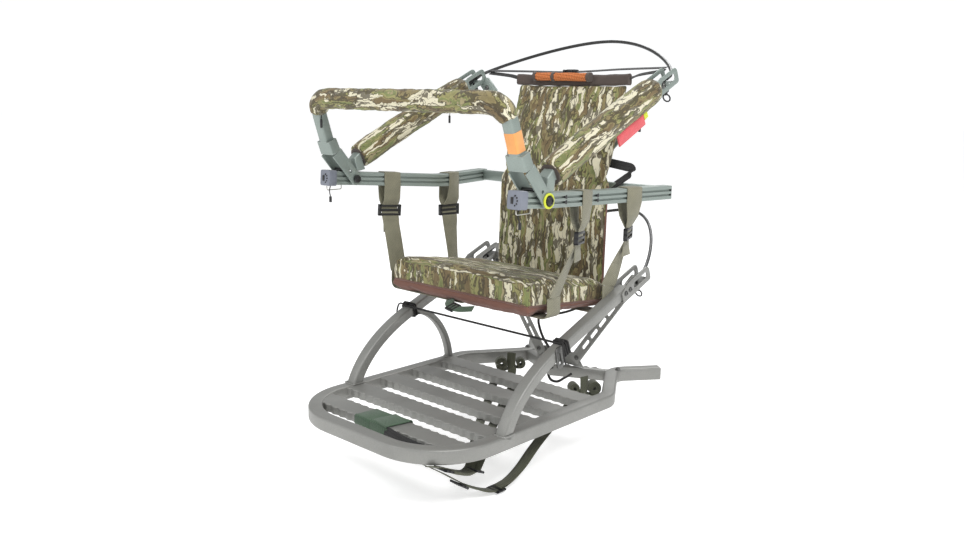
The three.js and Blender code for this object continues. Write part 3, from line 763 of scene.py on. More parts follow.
ARM_BRACKET_RUN = (592 - 380) / math.cos(ARM_SLOPE)    # from the knee to the bracket's foot


def bolt_head(name, place, axis, material, body, radius):
    """A domed head with a washer under it."""
    height = radius * 0.7
    seat, top = -1 * MM, 1.3 * MM
    profile = [(0, seat), (radius * 1.45, seat), (radius * 1.45, 0.8 * MM), (radius * 1.05, 1.2 * MM)]
    profile.append((radius, top))
    for out, up in ((1, 0.4), (0.8, 0.8), (0.5, 1), (0.42, 0.5), (0, 0.5)):
        profile.append((radius * out, top + height * up))
    lathe(name, profile, place, axis, material, body, steps=24)


def platform_frame():
    """The bent frame tube, with a plug in the end of each tail."""
    corners = [(0, TUBE_MIDDLE), (238, TUBE_MIDDLE), (238, 579), (131, 747.5), (207.5, 849.5)]
    corners = [mm(x, y, TUBE_MIDDLE) for x, y in corners]
    path = both_sides(rounded(corners, [144 * MM, 60 * MM, 50 * MM], 16))
    tube("frame_tube", path, round_rect(TUBE, TUBE, 5 * MM), DECK_PAINT, None, Z, node="platform_frame")
    way = (corners[-1] - corners[-2]).normalized()
    for hand, side in SIDES.items():
        out = flip(way, side)
        place = basis(flip(corners[-1], side) - out * 3 * MM, out.cross(Z), Z)
        piece(f"tail_plug_{hand}", block_mesh("plug", (26 * MM, 26 * MM, 9 * MM), place), BLACK, "platform")


def platform_arms():
    """The two arched arms, welded to the deck, and the brace under the left one."""
    foot = mm(240, 204, 24)
    rise = math.radians(70)
    reach = 78 * MM
    start_way = Vector((0, math.cos(rise), math.sin(rise)))
    end_way = Vector((0, math.cos(ARM_SLOPE), math.sin(ARM_SLOPE)))
    path = bezier(foot, foot + start_way * reach, KNEE - end_way * reach, KNEE, 28)
    path.append(on_arm(ARM_BRACKET_RUN + 30))
    for hand, side in SIDES.items():
        arm = tube_mesh("arm", flip_all(path, side), round_rect(25 * MM, 28 * MM, 4 * MM), X)
        stand_in(f"platform_arm_{hand}", arm, DECK_PAINT)
        weld(f"arm_weld_{hand}", flip(mm(240, 206, 32), side), (32 * MM, 35 * MM))
    foot, top = mm(-240, 527, 24), mm(-240, 408, 174)
    path = bezier(foot, foot + step(0, -3, 72), top + step(0, 62, -6), top)
    stand_in("arm_brace_left", tube_mesh("brace", path, round_rect(15 * MM, 20 * MM, 4 * MM), X), DECK_PAINT)
    weld("brace_weld", mm(-240, 527, 32), (24 * MM, 18 * MM))


def slats():
    """Foot slats: inverted channels whose long edges are scalloped for grip, more deeply than in the CAD."""
    pitch, depth, skin, wall_inset = 25 * MM, 3.2 * MM, 4 * MM, 8 * MM
    for number in range(1, 6):
        low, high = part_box(f"slat_{number}")
        middle = (low + high) / 2
        half, top = (high.y - low.y) / 2, (high.z - low.z) / 2

        def section(at):
            edge = half - depth * (0.5 - 0.5 * math.cos(2 * math.pi * at / pitch))
            wall = half - wall_inset
            outer = [(edge, -top), (edge, top - 1.5 * MM), (edge - 1.5 * MM, top)]
            inner = [(wall, top - skin), (wall, -top)]
            return outer + mirrored(outer) + mirrored(inner) + inner

        count = int((high.x - low.x) / (2.5 * MM))
        path = [middle + X * (high.x - low.x) * (i / count - 0.5) for i in range(count + 1)]
        stand_in(f"slat_{number}", tube_mesh("slat", path, section, Z), DECK_PAINT, sharp=30)


def mirrored(points):
    """Flat points mirrored across their second axis, in reverse order."""
    return [(-a, b) for a, b in reversed(points)]


def weld(name, place, size):
    """A rippled bead round the foot of a tube."""
    outline = [Vector((x, y, 0)) + place for x, y in round_rect(*size, 6 * MM, 8)]
    bead = tube_mesh(name, outline + outline[:2], circle(2.1 * MM, 10),
                     scale=lambda at, total: 1 + 0.16 * math.sin(at / (1.1 * MM)))
    piece(name, bead, DECK_PAINT, "platform", sharp=70)


def trunk_cable(name, place_at, bracket_end, apex, apex_handle):
    """A coated cable that leaves one bracket, loops round the trunk and enters the other. place_at(run) gives
    a point along the slope, and the bracket ends where run is bracket_end."""
    stop, tip = place_at(bracket_end - 59), place_at(bracket_end - 6)
    way = (tip - stop).normalized()
    loop = bezier(apex, apex + X * apex_handle * MM, tip + way * 34 * MM, tip, 36)
    meshes = [tube_mesh(name, both_sides(loop + [stop]), circle(4 * MM, 16))]
    for hand, side in SIDES.items():
        start, out = flip(stop, side), flip(way, side)
        meshes.append(tube_mesh(name, [start - out * 0.5 * MM, start + out * 20 * MM], circle(6.3 * MM, 20)))
        sleeve = [flip(tip, side) + out * at * MM for at in (-14, 2)]
        tube(f"{name}_sleeve_{hand}", sleeve, circle(5.2 * MM, 20), DARK_STEEL, name)
    stand_in(name, merged(name, meshes), CABLE)


def level_cord():
    """Cord lashed three times round each arm and drawn tight between them."""
    radius = 2.5
    out, up = 14 + radius, 12.5 + radius
    pitch = 7
    corners = [on_arm(2, up, -240)]
    for turn in range(3):
        run = 2 + turn * pitch
        corners += [on_arm(run, up, out), on_arm(run, -up, out), on_arm(run + pitch / 2, -up, -out)]
        if turn < 2:
            corners.append(on_arm(run + pitch, up, -out))
    path = both_sides(rounded(corners, 4 * MM, 5))
    stand_in("level_cord", tube_mesh("cord", path, circle(radius * MM, 12)), CORD)
    tail = smooth([on_arm(6, up, 8), on_arm(-4, up + 6, 20), on_arm(-16, -4, 26), on_arm(-12, -26, 22)])
    for hand, side in SIDES.items():
        knot(f"lashing_knot_{hand}", flip(on_arm(6, up + 2, 6), side), 8 * MM, side)
        tube(f"lashing_tail_{hand}", flip_all(tail, side), circle(2 * MM, 10), CORD, "platform")


def knot(name, place, size, side):
    """An overhand knot: a trefoil of cord."""
    path = []
    for i in range(49):
        t = 2 * math.pi * i / 48
        wide, tall = math.sin(t) + 1.6 * math.sin(2 * t), math.cos(t) - 1.6 * math.cos(2 * t)
        path.append(place + Vector((side * wide, -0.8 * math.sin(3 * t), tall)) * size / 3)
    tube(name, path, circle(2.6 * MM, 10), CORD, "platform")


def rail_section():
    """Rail outline with two grooves down each side."""
    w, h = RAIL_WIDTH / 2, RAIL_HEIGHT / 2
    depth, half_groove, bevel = 4.5 * MM, 2.6 * MM, 1.2 * MM
    right = [(w - bevel, -h), (w, -h + bevel)]
    for groove in (-h / 3, h / 3):
        low, high = groove - half_groove, groove + half_groove
        right += [(w, low), (w - depth, low), (w - depth, high), (w, high)]
    right += [(w, h - bevel), (w - bevel, h)]
    return right + [(-x, -y) for x, y in right]


def rail_path():
    """The middle of the right rail, from its front cap to its flared tail."""
    corners = [mm(288, 171, 521.6), mm(288, 262, 515.5), mm(245, 490, 501), mm(291, 704, 502)]
    return rounded(corners, [60 * MM, 120 * MM], 10)


def rail_at(y):
    """The middle of the right rail at y mm from the platform's front edge."""
    target = y * MM + FRONT_EDGE
    path = rail_path()
    for before, after in zip(path, path[1:]):
        if after.y > target:
            return before.lerp(after, (target - before.y) / (after.y - before.y))
    return path[-1]


def rails():
    """The two grooved rails, with end plugs and black stops in their grooves."""
    for hand, side in SIDES.items():
        path = flip_all(rail_path(), side)
        stand_in(f"seat_rail_{hand}", tube_mesh("rail", path, rail_section(), Z), RAIL_PAINT, sharp=25)
        way = (path[-1] - path[-2]).normalized()
        plug = block_mesh("plug", (24 * MM, 27 * MM, 5 * MM), basis(path[-1], way.cross(Z), Z), 1 * MM)
        piece(f"rail_plug_{hand}", plug, BLACK, "seat_section")
        for number, y in enumerate((322, 470)):
            meshes = []
            for z in (-RAIL_HEIGHT / 6, RAIL_HEIGHT / 6):
                at = flip(rail_at(y), side) + Vector((side * (RAIL_WIDTH / 2 - 0.8 * MM), 0, z))
                meshes.append(block_mesh("stop", (3 * MM, 8 * MM, 8.5 * MM), Matrix.Translation(at), 1 * MM))
            piece(f"groove_plug_{hand}_{number}", merged("stops", meshes), BLACK, "seat_section")


def armrests():
    """The two sloping tubes. Returns the path of the right one's padded stretch."""
    low, high = mm(292, 258, 560), on_armrest(34)
    way = Vector((0, math.cos(ARMREST_SLOPE), math.sin(ARMREST_SLOPE)))
    curve = bezier(low, low + step(0, 100, 56), high - way * 130 * MM, high, 30)
    for hand, side in SIDES.items():
        path = flip_all([mm(285, 262, 533), *curve], side)
        arm = tube_mesh("armrest", path, round_rect(26 * MM, 26 * MM, 4 * MM), X)
        stand_in(f"armrest_tube_{hand}", arm, RAIL_PAINT)
    return curve


def front_bar():
    """The arched tube: square legs that turn round under the pad, each ending in a flared block between fork
    plates. Returns the tube's path."""
    low, high = mm(288, 184, 580), mm(288, 172, 608)
    corner, middle = mm(286, 140, 702), mm(0, 140, 702)
    right = rounded([middle, corner, high, low], [44 * MM, 60 * MM], 14)
    path = both_sides(right)
    legs = [p for p in resample(right, 160) if p.z < corner.z - 22 * MM]
    meshes = [tube_mesh("bar", path, circle(13 * MM, 24), BAR_LEAN)]
    for side in SIDES.values():
        meshes.append(tube_mesh("leg", flip_all(legs, side), round_rect(27 * MM, 25 * MM, 5 * MM), BAR_LEAN))
        ends = flip_all([low, low.lerp(high, 0.35), high], side)
        meshes.append(tube_mesh("block", ends, round_rect(46 * MM, 27 * MM, 3.5 * MM), BAR_LEAN,
                                scale=lambda at, total: 1 - 0.05 * at / total))
    stand_in("front_bar", merged("front_bar", meshes), RAIL_PAINT)
    label = [p for p in legs if 4 * MM < p.z - high.z < 42 * MM]
    around_leg = round_rect(28.2 * MM, 26.2 * MM, 5.6 * MM)
    tube("generic_label", label, around_leg, LABEL_CLOTH, "front_bar", BAR_LEAN)
    return path


def hub_details():
    """The signal ring and bolt on each hub."""
    inner, outer, rim, top = 11 * MM, 15.5 * MM, 2.2 * MM, 3 * MM
    ring = [(inner, 0), (outer, 0), (outer, rim), (outer - 1 * MM, top), (inner + 0.8 * MM, top)]
    ring += [(inner, rim), (inner, 0)]
    for hand, side in SIDES.items():
        face = flip(HUB, side) + X * side * 24.4 * MM
        lathe(f"hub_ring_{hand}", ring, face, X * side, SIGNAL, "seat_section")
        bolt_head(f"hub_bolt_{hand}", face, X * side, BLACK, "seat_section", 9.5 * MM)


def cap_details():
    """On each rail cap: a slot, a ring of dots, and a toggle on a cord that hangs from the wire bail."""
    for hand, side in SIDES.items():
        low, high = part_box(f"rail_cap_{hand}")
        face = Vector(((low.x + high.x) / 2, low.y, (low.z + high.z) / 2))
        slot = block_mesh("slot", step(6, 1.6, 13), Matrix.Translation(face - X * 4 * MM), 0.7 * MM)
        piece(f"cap_slot_{hand}", slot, BLACK, "seat_section")
        for number in range(5):
            angle = math.radians(-70 + 35 * number)
            dot = face + step(9 * math.cos(angle), 0.8, 10 * math.sin(angle))
            bolt_head(f"cap_dot_{hand}_{number + 1}", dot, -Y, BLACK, "seat_section", 1.1 * MM)
        cord = [face + step(0, 18, -15), face + step(0, 14, -30), face + step(2 * side, 18, -44)]
        tube(f"bail_cord_{hand}", smooth(cord, 6), circle(1.2 * MM, 8), CORD, "seat_section")
        toggle = [cord[-1], cord[-1] - Z * 13 * MM]
        tube(f"bail_toggle_{hand}", toggle, circle(3.2 * MM, 12), BLACK, "seat_section")


def carried_over_metal():
    """CAD parts that keep their own shape, with rounded edges."""
    for node in ("platform_tree_bar", "v_brace_plate"):
        refined(node, DECK_PAINT)
    refined("seat_tree_bar", RAIL_PAINT)
    refined("cord_clip", DARK_STEEL, 0.6 * MM)
    for hand in SIDES:
        for part in ("platform_bracket", "platform_v_brace"):
            refined(f"{part}_{hand}", DECK_PAINT)
        for part in ("seat_bracket", "seat_v_brace", "fork_outer", "fork_inner"):
            refined(f"{part}_{hand}", RAIL_PAINT)
        for part in ("platform_lock", "seat_lock", "hinge_bolt", "stop_rod"):
            refined(f"{part}_{hand}", BLACK, 0.6 * MM)
        refined(f"rail_cap_{hand}", CAP, 1.4 * MM)
        refined(f"wire_bail_{hand}", STEEL, 0.2 * MM)


def bracket_bolts():
    """Bolts through the cable brackets, the V braces' feet and the frame."""
    small, large = 4.5 * MM, 5 * MM
    for hand, side in SIDES.items():
        for number, run in enumerate((14, 32)):
            place = flip(on_arm(ARM_BRACKET_RUN + run, 2, 18), side)
            bolt_head(f"arm_bolt_{hand}_{number}", place, X * side, DARK_STEEL, "platform", small)
            place = flip(on_armrest(run, 2, 18), side)
            bolt_head(f"armrest_bolt_{hand}_{number}", place, X * side, DARK_STEEL, "seat_section", small)
        bolt_head(f"v_bolt_{hand}", mm(62 * side, 687, 58), -Y, DARK_STEEL, "platform", small)
        bolt_head(f"seat_v_bolt_{hand}", mm(76 * side, 692, 541), -Y, DARK_STEEL, "seat_section", small)
        place = mm(150 * side, 747, TUBE_MIDDLE + 17)
        bolt_head(f"foot_bolt_{hand}", place, Z, DARK_STEEL, "platform", large)


def brace_shoes(part, body, paint, low, high, thick):
    """Bolted shoes that carry the upper ends of the V braces up to the cable brackets."""
    for hand, side in SIDES.items():
        start, end = flip(mm(*low), side), flip(mm(*high), side)
        middle = (start + end) / 2
        place = basis(middle, end - start, Y.cross(end - start))
        shoe = block_mesh("shoe", ((end - start).length, 30 * MM, thick * MM), place)
        piece(f"{part}_brace_shoe_{hand}", shoe, paint, body)
        for number, face in enumerate((-Y, Y), 1):
            name = f"{part}_shoe_bolt_{hand}_{number}"
            bolt_head(name, middle + face * (thick / 2) * MM, face, DARK_STEEL, body, 4.5 * MM)


# ---------- webbing ----------
def strap_section(thick, width):
    return round_rect(thick, width, 0.6 * MM, 2)


def strap(name, points, across, material, body=None, width=WEB_WIDTH, thick=1.7 * MM, node=None):
    """A flat strap through the points, its width along `across`."""
    section = round_rect(thick, width, thick * 0.35, 2)
    piece(name, tube_mesh(name, smooth(points, 10), section, across), material, body, node, sharp=50)


def tri_glide(name, origin, across, down, body, width=WEB_WIDTH, thick=5 * MM):
    """A buckle frame with three bars."""
    wide, tall, bar = width + 9 * MM, 28 * MM, 6 * MM
    place = basis(origin, across, down)
    meshes = []
    for height in (-tall / 2 + bar / 2, 0, tall / 2 - bar / 2):
        at = place @ Matrix.Translation((0, height, 0))
        meshes.append(block_mesh(name, (wide, bar, thick), at, 1.3 * MM))
    for edge in (bar / 2 - wide / 2, wide / 2 - bar / 2):
        at = place @ Matrix.Translation((edge, 0, 0))
        meshes.append(block_mesh(name, (bar, tall, thick), at, 1.3 * MM))
    piece(name, merged(name, meshes), BLACK, body)


def hanging_strap(hand, end, rail_y, seat_y, buckle_z, twist=0.0):
    """A loop over the rail down to a buckle, then one web to the seat and under it. The web turns by `twist`
    degrees towards the buckle."""
    name, side = f"hang_strap_{end}_{hand}", SIDES[hand]
    rail = rail_at(rail_y)
    way = (rail_at(rail_y + 10) - rail_at(rail_y - 10)).normalized()
    out = way.cross(Z)
    gap = 1.4 * MM    # from the rail's skin to the web's middle
    half, low, high = RAIL_WIDTH / 2 + gap, rail.z - RAIL_HEIGHT / 2 - gap, rail.z + RAIL_HEIGHT / 2 + gap
    buckle = Vector((rail.x, rail.y, buckle_z * MM))
    reach = 229 if side == RIGHT else 239
    bottom = mm(reach, seat_y, 290)
    turned = flip(Matrix.Rotation(math.radians(twist), 3, "Z") @ way, side)

    def beside(aside, z):
        return rail + out * aside + Z * (z - rail.z)

    def width_at(point):
        """Along the rail at both ends, turned towards the buckle."""
        share = (low - point.z) / (low - buckle.z)
        if share > 1:
            share = (point.z - bottom.z) / (buckle.z - bottom.z)
        share = min(max(share, 0.0), 1.0)
        return flip(way, side).lerp(turned, share * share * (3 - 2 * share)).normalized()

    def web(label, path, thick=1.8 * MM, body="seat_section", node=None):
        section = strap_section(thick, HANGER_WIDTH)
        mesh = tube_mesh(name, flip_all(path, side), section, [width_at(p) for p in path])
        return piece(f"{name}_{label}", mesh, WEBBING, body, node, sharp=50)

    neck, top_bar = low - 34 * MM, buckle.z + 11 * MM
    corners = [(-1.5 * MM, top_bar), (-half * 0.8, neck), (-half, low), (-half, high)]
    corners += [(-aside, z) for aside, z in reversed(corners)]
    radii = [30 * MM, 8 * MM, 3 * MM]
    web("loop", rounded([beside(*corner) for corner in corners], radii + radii[::-1], 8), node=name)
    tri_glide(name + "_buckle", flip(buckle, side), turned, Z, "seat_section", HANGER_WIDTH + 8 * MM, 9 * MM)
    threaded = [buckle + step(*at) for at in ((0, 0, 12), (1.5, 0, 6), (-1.5, 0, -6), (0, 0, -12))]
    web("threaded", threaded, 3.4 * MM)
    foot = buckle - Z * 8 * MM
    tail = web("tail", smooth([foot, buckle.lerp(bottom, 0.5), bottom], 14), body=None)
    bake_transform(tail)
    web("free_end", smooth([buckle + step(*at) for at in ((-3, 0, -10), (-5, 1, -26), (-4.5, 2, -52))], 6))
    height = 254 - (seat_y - 300) * 0.11    # just under the cushion
    under = [mm(reach, seat_y, 292), mm(reach + 1, seat_y, height), mm(0, seat_y, height)]
    under = flip_all(rounded(under, 16 * MM, 8), side)
    sling = tube_mesh(name, under, strap_section(1.8 * MM, HANGER_WIDTH), Y)
    piece(name + "_sling", sling, WEBBING, "seat", sharp=50)


def toe_strap():
    """Two turns of wide strap lapped round the first slat, the end tucked along its front edge."""
    near, far, top, bottom = 63.5, 122.5, 31, 10.5
    middle = (near + far) / 2
    for number, (x, lean, lift) in enumerate(((-38, 6, 0), (14, 12, 1.6)), 1):
        low, high, front, back = bottom - lift, top + lift, near - lift, far + lift
        corners = places([(x, middle, low), (x, front, low), (x, front, high), (x + lean, back, high),
                            (x + lean, back, low), (x, middle, low - 0.4)])
        turn = tube_mesh("turn", rounded(corners, 4 * MM, 6), round_rect(2 * MM, 56 * MM, 0.7 * MM, 2), X)
        stands_for = "toe_strap" if number == 1 else None
        wrap = piece(f"toe_wrap_{number}", turn, GREEN_WEB, "platform", stands_for, 50)
    end = places([(36, near - 1, 24), (72, near - 3, 19), (112, near - 2, 15), (158, near + 1, 13)])
    strap("toe_strap_end", end, Vector((0, 0.3, 1)), BLACK_WEB, "platform", 20 * MM, 3 * MM)


def foot_straps():
    """Two diagonal webs under the slats and the two adjustable loops that hang below the right-hand side."""
    under = 7
    across = Vector((0.81, 0.58, 0))
    short = places([(-118, 586, under), (25, 395, under), (96, 295, under), (150, 222, under),
                      (186, 172, -12), (204, 140, -34), (208, 100, -28), (207, 60, -9), (198, 30, 2)])
    strap("foot_strap_short.look", short, across, FOOT_WEB, width=21 * MM, node="foot_strap_short")
    second = places([(-58, 594, under - 2), (0, 508, under - 2), (63, 405, under - 2),
                       (129, 303, under - 2), (168, 240, under - 3), (200, 186, -16), (214, 150, -38)])
    strap("foot_strap_second", second, across, FOOT_WEB, "platform", 21 * MM)
    long = places([(182, 505, under), (196, 420, -18), (203, 349, -50), (205, 300, -82), (204, 262, -100),
                     (200, 224, -108), (194, 190, -99), (184, 140, -72), (172, 92, -38), (158, 42, -6),
                     (150, 22, 6)])
    strap("foot_strap_long.look", long, X, FOOT_WEB, node="foot_strap_long")
    strap("foot_strap_double", [p + step(6, 3, 7) for p in long[1:6]], X, FOOT_WEB, "platform", 22 * MM)
    wrapped = [p + step(0, 0, -2.5) for p in long[5:8]]
    strap("foot_strap_wrap", wrapped, Vector((1, 0, 0.12)), FOOT_WEB, "platform", 30 * MM, 3.4 * MM)
    fold = places([(209, 148, -37), (210, 124, -37), (209, 96, -27), (206, 76, -18)])
    strap("foot_strap_fold", fold, X, FOOT_WEB, "platform", 27 * MM, 6 * MM)
    tri_glide("foot_buckle_low", long[5] + step(1, 6, -1), X, long[4] - long[6], "platform")
    tri_glide("foot_buckle_mid", long[7] + step(0, -6, -2), X, long[7] - long[8], "platform")
    tri_glide("foot_buckle_front", mm(209, 152, -39), X, Vector((0, 0.9, -0.4)), "platform")
    tri_glide("foot_buckle_rear", mm(207, 66, -13), X, Vector((0, 0.9, -0.4)), "platform")


def coil_path(centre, way, turns, pitch):
    """A spiral in the plane of `way` and Z that unwinds along `way` at its foot."""
    steps = 28
    path = []
    for i in range(int((turns - 0.25) * steps) + 1):
        angle = 2 * math.pi * i / steps
        radius = (4.5 + pitch * i / steps) * MM
        path.append(centre + (way * math.cos(angle) * 0.95 + Z * math.sin(angle)) * radius)
    return path + [path[-1] + way * 8 * MM, path[-1] + way * 19 * MM + Z * 4 * MM]


def rolled_bundle(hand, x, y, turn, beside):
    """Spare strap rolled up into two coils, with a band hanging over their ends."""
    node = f"strap_bundle_{hand}"
    centre = mm(x, y, TUBE_MIDDLE)
    axis = Vector((math.cos(turn), math.sin(turn), 0))
    flat = Vector((-axis.y, axis.x, 0)) * beside
    second = centre + (flat * 50 + Z * 2) * MM
    section = strap_section(2.2 * MM, WEB_WIDTH)
    coils = [coil_path(centre, flat, 4, 3.4), coil_path(second, -flat, 3, 3.2)]
    meshes = [tube_mesh(node, path, section, axis) for path in coils]
    drop = ((26, 30), (25, 4), (28, -18), (24, -38))
    band = [centre + (flat * aside + axis * 5 + Z * z) * MM for aside, z in drop]
    lying = (flat + axis * 0.35).normalized()
    meshes.append(tube_mesh(node, smooth(band), round_rect(3.4 * MM, 23 * MM, 1 * MM, 2), lying))
    stand_in(node, merged(node, meshes), FOOT_WEB, sharp=50)


def hem_strap():
    """The web that carries the back, and a second, buckled one behind it."""
    stations = places([(-268, 703, 772), (-200, 708, 765), (-150, 714, 757), (0, 716, 753),
                         (150, 714, 757), (200, 708, 767), (268, 703, 776)])
    strap("hem_strap.look", stations, Vector((0, 0.86, 0.5)), BLACK_WEB, width=14 * MM, node="hem_strap")
    over = places([(-268, 706, 778), (-140, 722, 776), (-40, 727, 774), (40, 727, 776), (140, 722, 780),
                     (268, 706, 782)])
    strap("back_web", over, Vector((0, 0.95, 0.3)), BLACK_WEB, "backrest", 14 * MM)
    meshes = []
    for shift, size, bevel in ((0, (30, 17, 9), 3), (0, (12, 26, 6), 2.5), (-20, (7, 20, 8), 2)):
        at = Matrix.Translation(mm(-13 + shift, 727, 776))
        meshes.append(block_mesh("clip", step(*size), at, bevel * MM))
    piece("side_clip", merged("side_clip", meshes), BLACK, "backrest")


def rear_web():
    """A loop of strap behind the right rail that ties the back to the frame."""
    path = rounded([mm(140, 676, 562), mm(226, 676, 551), mm(124, 680, 484)], 9 * MM, 8)
    lying = Vector((0.1, 0.45, 0.9)).normalized()
    mesh = tube_mesh("rear_web", path, strap_section(1.8 * MM, 22 * MM), lying)
    piece("rear_web", mesh, BLACK_WEB, "seat_section", sharp=50)


def cord(name, points, radius, sides, body="platform"):
    """A round cord through (x, y, z) places in mm."""
    return tube(name, smooth(places(points), 10), circle(radius, sides), CORD, body)


def cords():
    """The tether from the right lashing up to the seat's tree bar, a bungee, and a loop at a lashing."""
    tether = [(120, 692, 500), (128, 676, 440), (134, 672, 330), (134, 664, 262), (132, 630, 226),
              (134, 560, 216), (142, 470, 222), (148, 432, 232), (146, 425, 220), (152, 422, 203),
              (172, 412, 184), (202, 400, 168), (226, 396, 166)]
    tether = cord("tether_cord", tether, 2.9 * MM, 12, None)
    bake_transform(tether)
    bungee = [(-24, 680, 28), (-20, 676, 2), (-8, 674, -14), (14, 674, -14), (34, 678, 0), (52, 684, 14)]
    cord("bungee", bungee, 3.4 * MM, 14)
    knot("bungee_knot", mm(-24, 679, 20), 9 * MM, 1)
    cord("lashing_loop", [(200, 404, 160), (190, 396, 140), (204, 386, 124), (226, 380, 134)], 2 * MM, 10)


def zip_pull(name, place, body):
    """A short cord loop with a rubber tab."""
    path = smooth([place, place + step(1, 0, -9), place + step(-0.5, 0, -17)], 6)
    tube(name + "_cord", path, circle(0.9 * MM, 8), CORD, body)
    tab = block_mesh(name, step(6, 4, 20), Matrix.Translation(path[-1] - Z * 9 * MM), 1.6 * MM)
    piece(name, tab, BLACK, body)


# ---------- padded goods ----------
def loft(name, rings, cuts):
    """A closed shell through four-cornered rings, subdivided so that it can bend."""
    work = bmesh.new()
    loops = [[work.verts.new(p) for p in ring] for ring in rings]
    for low, high in zip(loops, loops[1:]):
        for i in range(4):
            j = (i + 1) % 4
            work.faces.new((low[i], low[j], high[j], high[i]))
    work.faces.new(loops[0])
    work.faces.new(reversed(loops[-1]))
    bmesh.ops.recalc_face_normals(work, faces=work.faces)
    bmesh.ops.subdivide_edges(work, edges=work.edges[:], cuts=cuts, use_grid_fill=True)
    mesh = bpy.data.meshes.new(name)
    work.to_mesh(mesh)
    work.free()
    return mesh


def finish_pad(obj, material, mapping, node):
    """Smooths a simulated pad and makes it stand for its CAD node."""
    subdivide(obj)
    set_grain(obj, mapping)
    mesh = obj.data
    mesh.materials.clear()
    mesh.materials.append(material)
    mesh.polygons.foreach_set("use_smooth", [True] * len(mesh.polygons))
    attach(obj, BODY_OF[node])
    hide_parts(node)


def bell(values, width):
    """1 where the values are 0, falling off within the width."""
    return np.exp(-(values / width)**2)


def push_out(obj, heights):
    """Moves each point out along its normal by its height."""
    put_points(obj, points_of(obj) + normals_of(obj) * heights[:, None])


def flat_pad_grain(points, normals):
    """Streaks run side to side on top and bottom, and upright on every side face."""
    level = np.abs(normals[:, 2]) > 0.72
    top = np.stack([points[:, 1], points[:, 2], points[:, 0]], 1)
    side = np.stack([points[:, 0] + points[:, 1], points[:, 1] * 0.3, points[:, 2] * 1.2], 1)
    return np.where(level[:, None], top, side)


def seat_cushion():
    """A boxed cushion that slopes down to the rear, with a brown base below its seam."""
    inset = 6
    shift = 10    # it lies a little to the left in its slings
    rings = []
    for y in (301, 340, 400, 460, 520, 580, 613):
        back = y - 300
        top = 331 - back * 0.142 - inset
        bottom = 258 - back * 0.061 + inset * 0.7
        half_top = 215 - inset
        half_low = 226 - inset - back * 0.01
        rings.append(places([(-half_low - shift, y, bottom), (half_low, y, bottom), (half_top, y, top),
                               (-half_top - shift, y, top)]))
    obj = linked("seat_cushion.look", loft("seat_cushion", rings, 6))
    simulate(obj, 6 * MM, 5.0, 13 * MM)
    points = points_of(obj)
    upright = 1 - np.abs(normals_of(obj)[:, 2])
    height = points @ np.array(SEAT_BASE_NORMAL) - SEAT_SEAM
    groove = -2.6 * MM * bell(height, 4 * MM) * upright
    gather = 1.6 * MM * ripple(points * [1, 1, 0.25], 0.05, 3) * upright * bell(height, 30 * MM)
    dimple = 2.2 * MM * ripple(points, 0.16, 5) * (1 - upright)
    push_out(obj, groove + gather + dimple)
    finish_pad(obj, SEAT_CAMO, flat_pad_grain, "seat_cushion")
    welt("seat_welt", obj)


def front_sling():
    """A short dark web with a buckle under the cushion's front edge."""
    web = places([(-40, 330, 252), (-20, 306, 250), (2, 292, 247), (30, 288, 246), (60, 300, 250)])
    across = Vector((0.2, 0.9, 0.35))
    strap("front_sling", web, across, GREEN_WEB, "seat", 22 * MM)
    tri_glide("front_sling_buckle", mm(6, 291, 246), across, X, "seat", 20 * MM)


def welt(name, cushion):
    """A thin piping laid round the cushion along its seam plane, found by casting rays from inside."""
    tree = BVHTree.FromObject(cushion, bpy.context.evaluated_depsgraph_get())
    slope = SEAT_BASE_NORMAL.y / SEAT_BASE_NORMAL.z
    start = mm(0, 457, 0)
    start.z = SEAT_SEAM / SEAT_BASE_NORMAL.z - start.y * slope
    path = []
    count = 160
    for i in range(count + 1):
        angle = 2 * math.pi * i / count
        way = Vector((math.cos(angle) * 1.35, math.sin(angle), -math.sin(angle) * slope))
        hit = tree.ray_cast(start, way.normalized())[0]
        if hit is not None:
            path.append(hit)
    tube(name, path, circle(2.2 * MM, 10), BROWN_CLOTH, "seat", Z)


def upright_grain(points, normals):
    return points


def backrest():
    """Two panels with a fold between them, leaning back above the fold."""
    half, fold = 163, 532
    front = [(633, 268), (633, 340), (635, 440), (639, 510), (645, 527), (645, 537), (654, 580), (672, 640),
             (690, 700), (701, 742)]
    rings = []
    for y, z in front:
        thick = 5 if abs(z - fold) < 8 else 13
        wide = half + 4 if z < fold - 8 else half
        near, far = y + 1, y + 1 + thick
        rings.append(places([(-wide, near, z), (wide, near, z), (wide, far, z), (-wide, far, z)]))
    obj = linked("backrest.look", loft("backrest", rings, 5))

    def held(points):
        at_fold = np.abs(points[:, 2] - fold * MM) < 4 * MM
        at_edge = np.abs(points[:, 0]) > (half - 4) * MM
        return at_fold | at_edge

    simulate(obj, 5 * MM, 4.5, 12 * MM, pinned=held)
    points = points_of(obj)
    soft = np.clip((half * MM - np.abs(points[:, 0])) / (30 * MM), 0, 1)
    drape = 2.6 * MM * ripple(points * [1, 1, 0.45], 0.13, 11) * soft
    pucker = 2.4 * MM * ripple(points * [1, 1, 0.35], 0.07, 17) * bell(points[:, 2] - fold * MM, 45 * MM)
    push_out(obj, drape + pucker)
    finish_pad(obj, BACK_CAMO, upright_grain, "backrest")


def back_hem():
    """The cloth sleeve that the hem strap runs through."""
    hem = [mm(x, 713 - 0.0002 * x * x, 753 + 0.0001 * x * x) for x in np.linspace(-172, 172, 25)]
    sleeve = tube_mesh("back_hem", hem, round_rect(27 * MM, 15 * MM, 7 * MM, 6), Y,
                       scale=lambda at, total: 1 + 0.04 * math.sin(at / (9 * MM)))
    piece("back_hem", sleeve, DARK_CLOTH_AND_SHADE, "backrest", sharp=70)


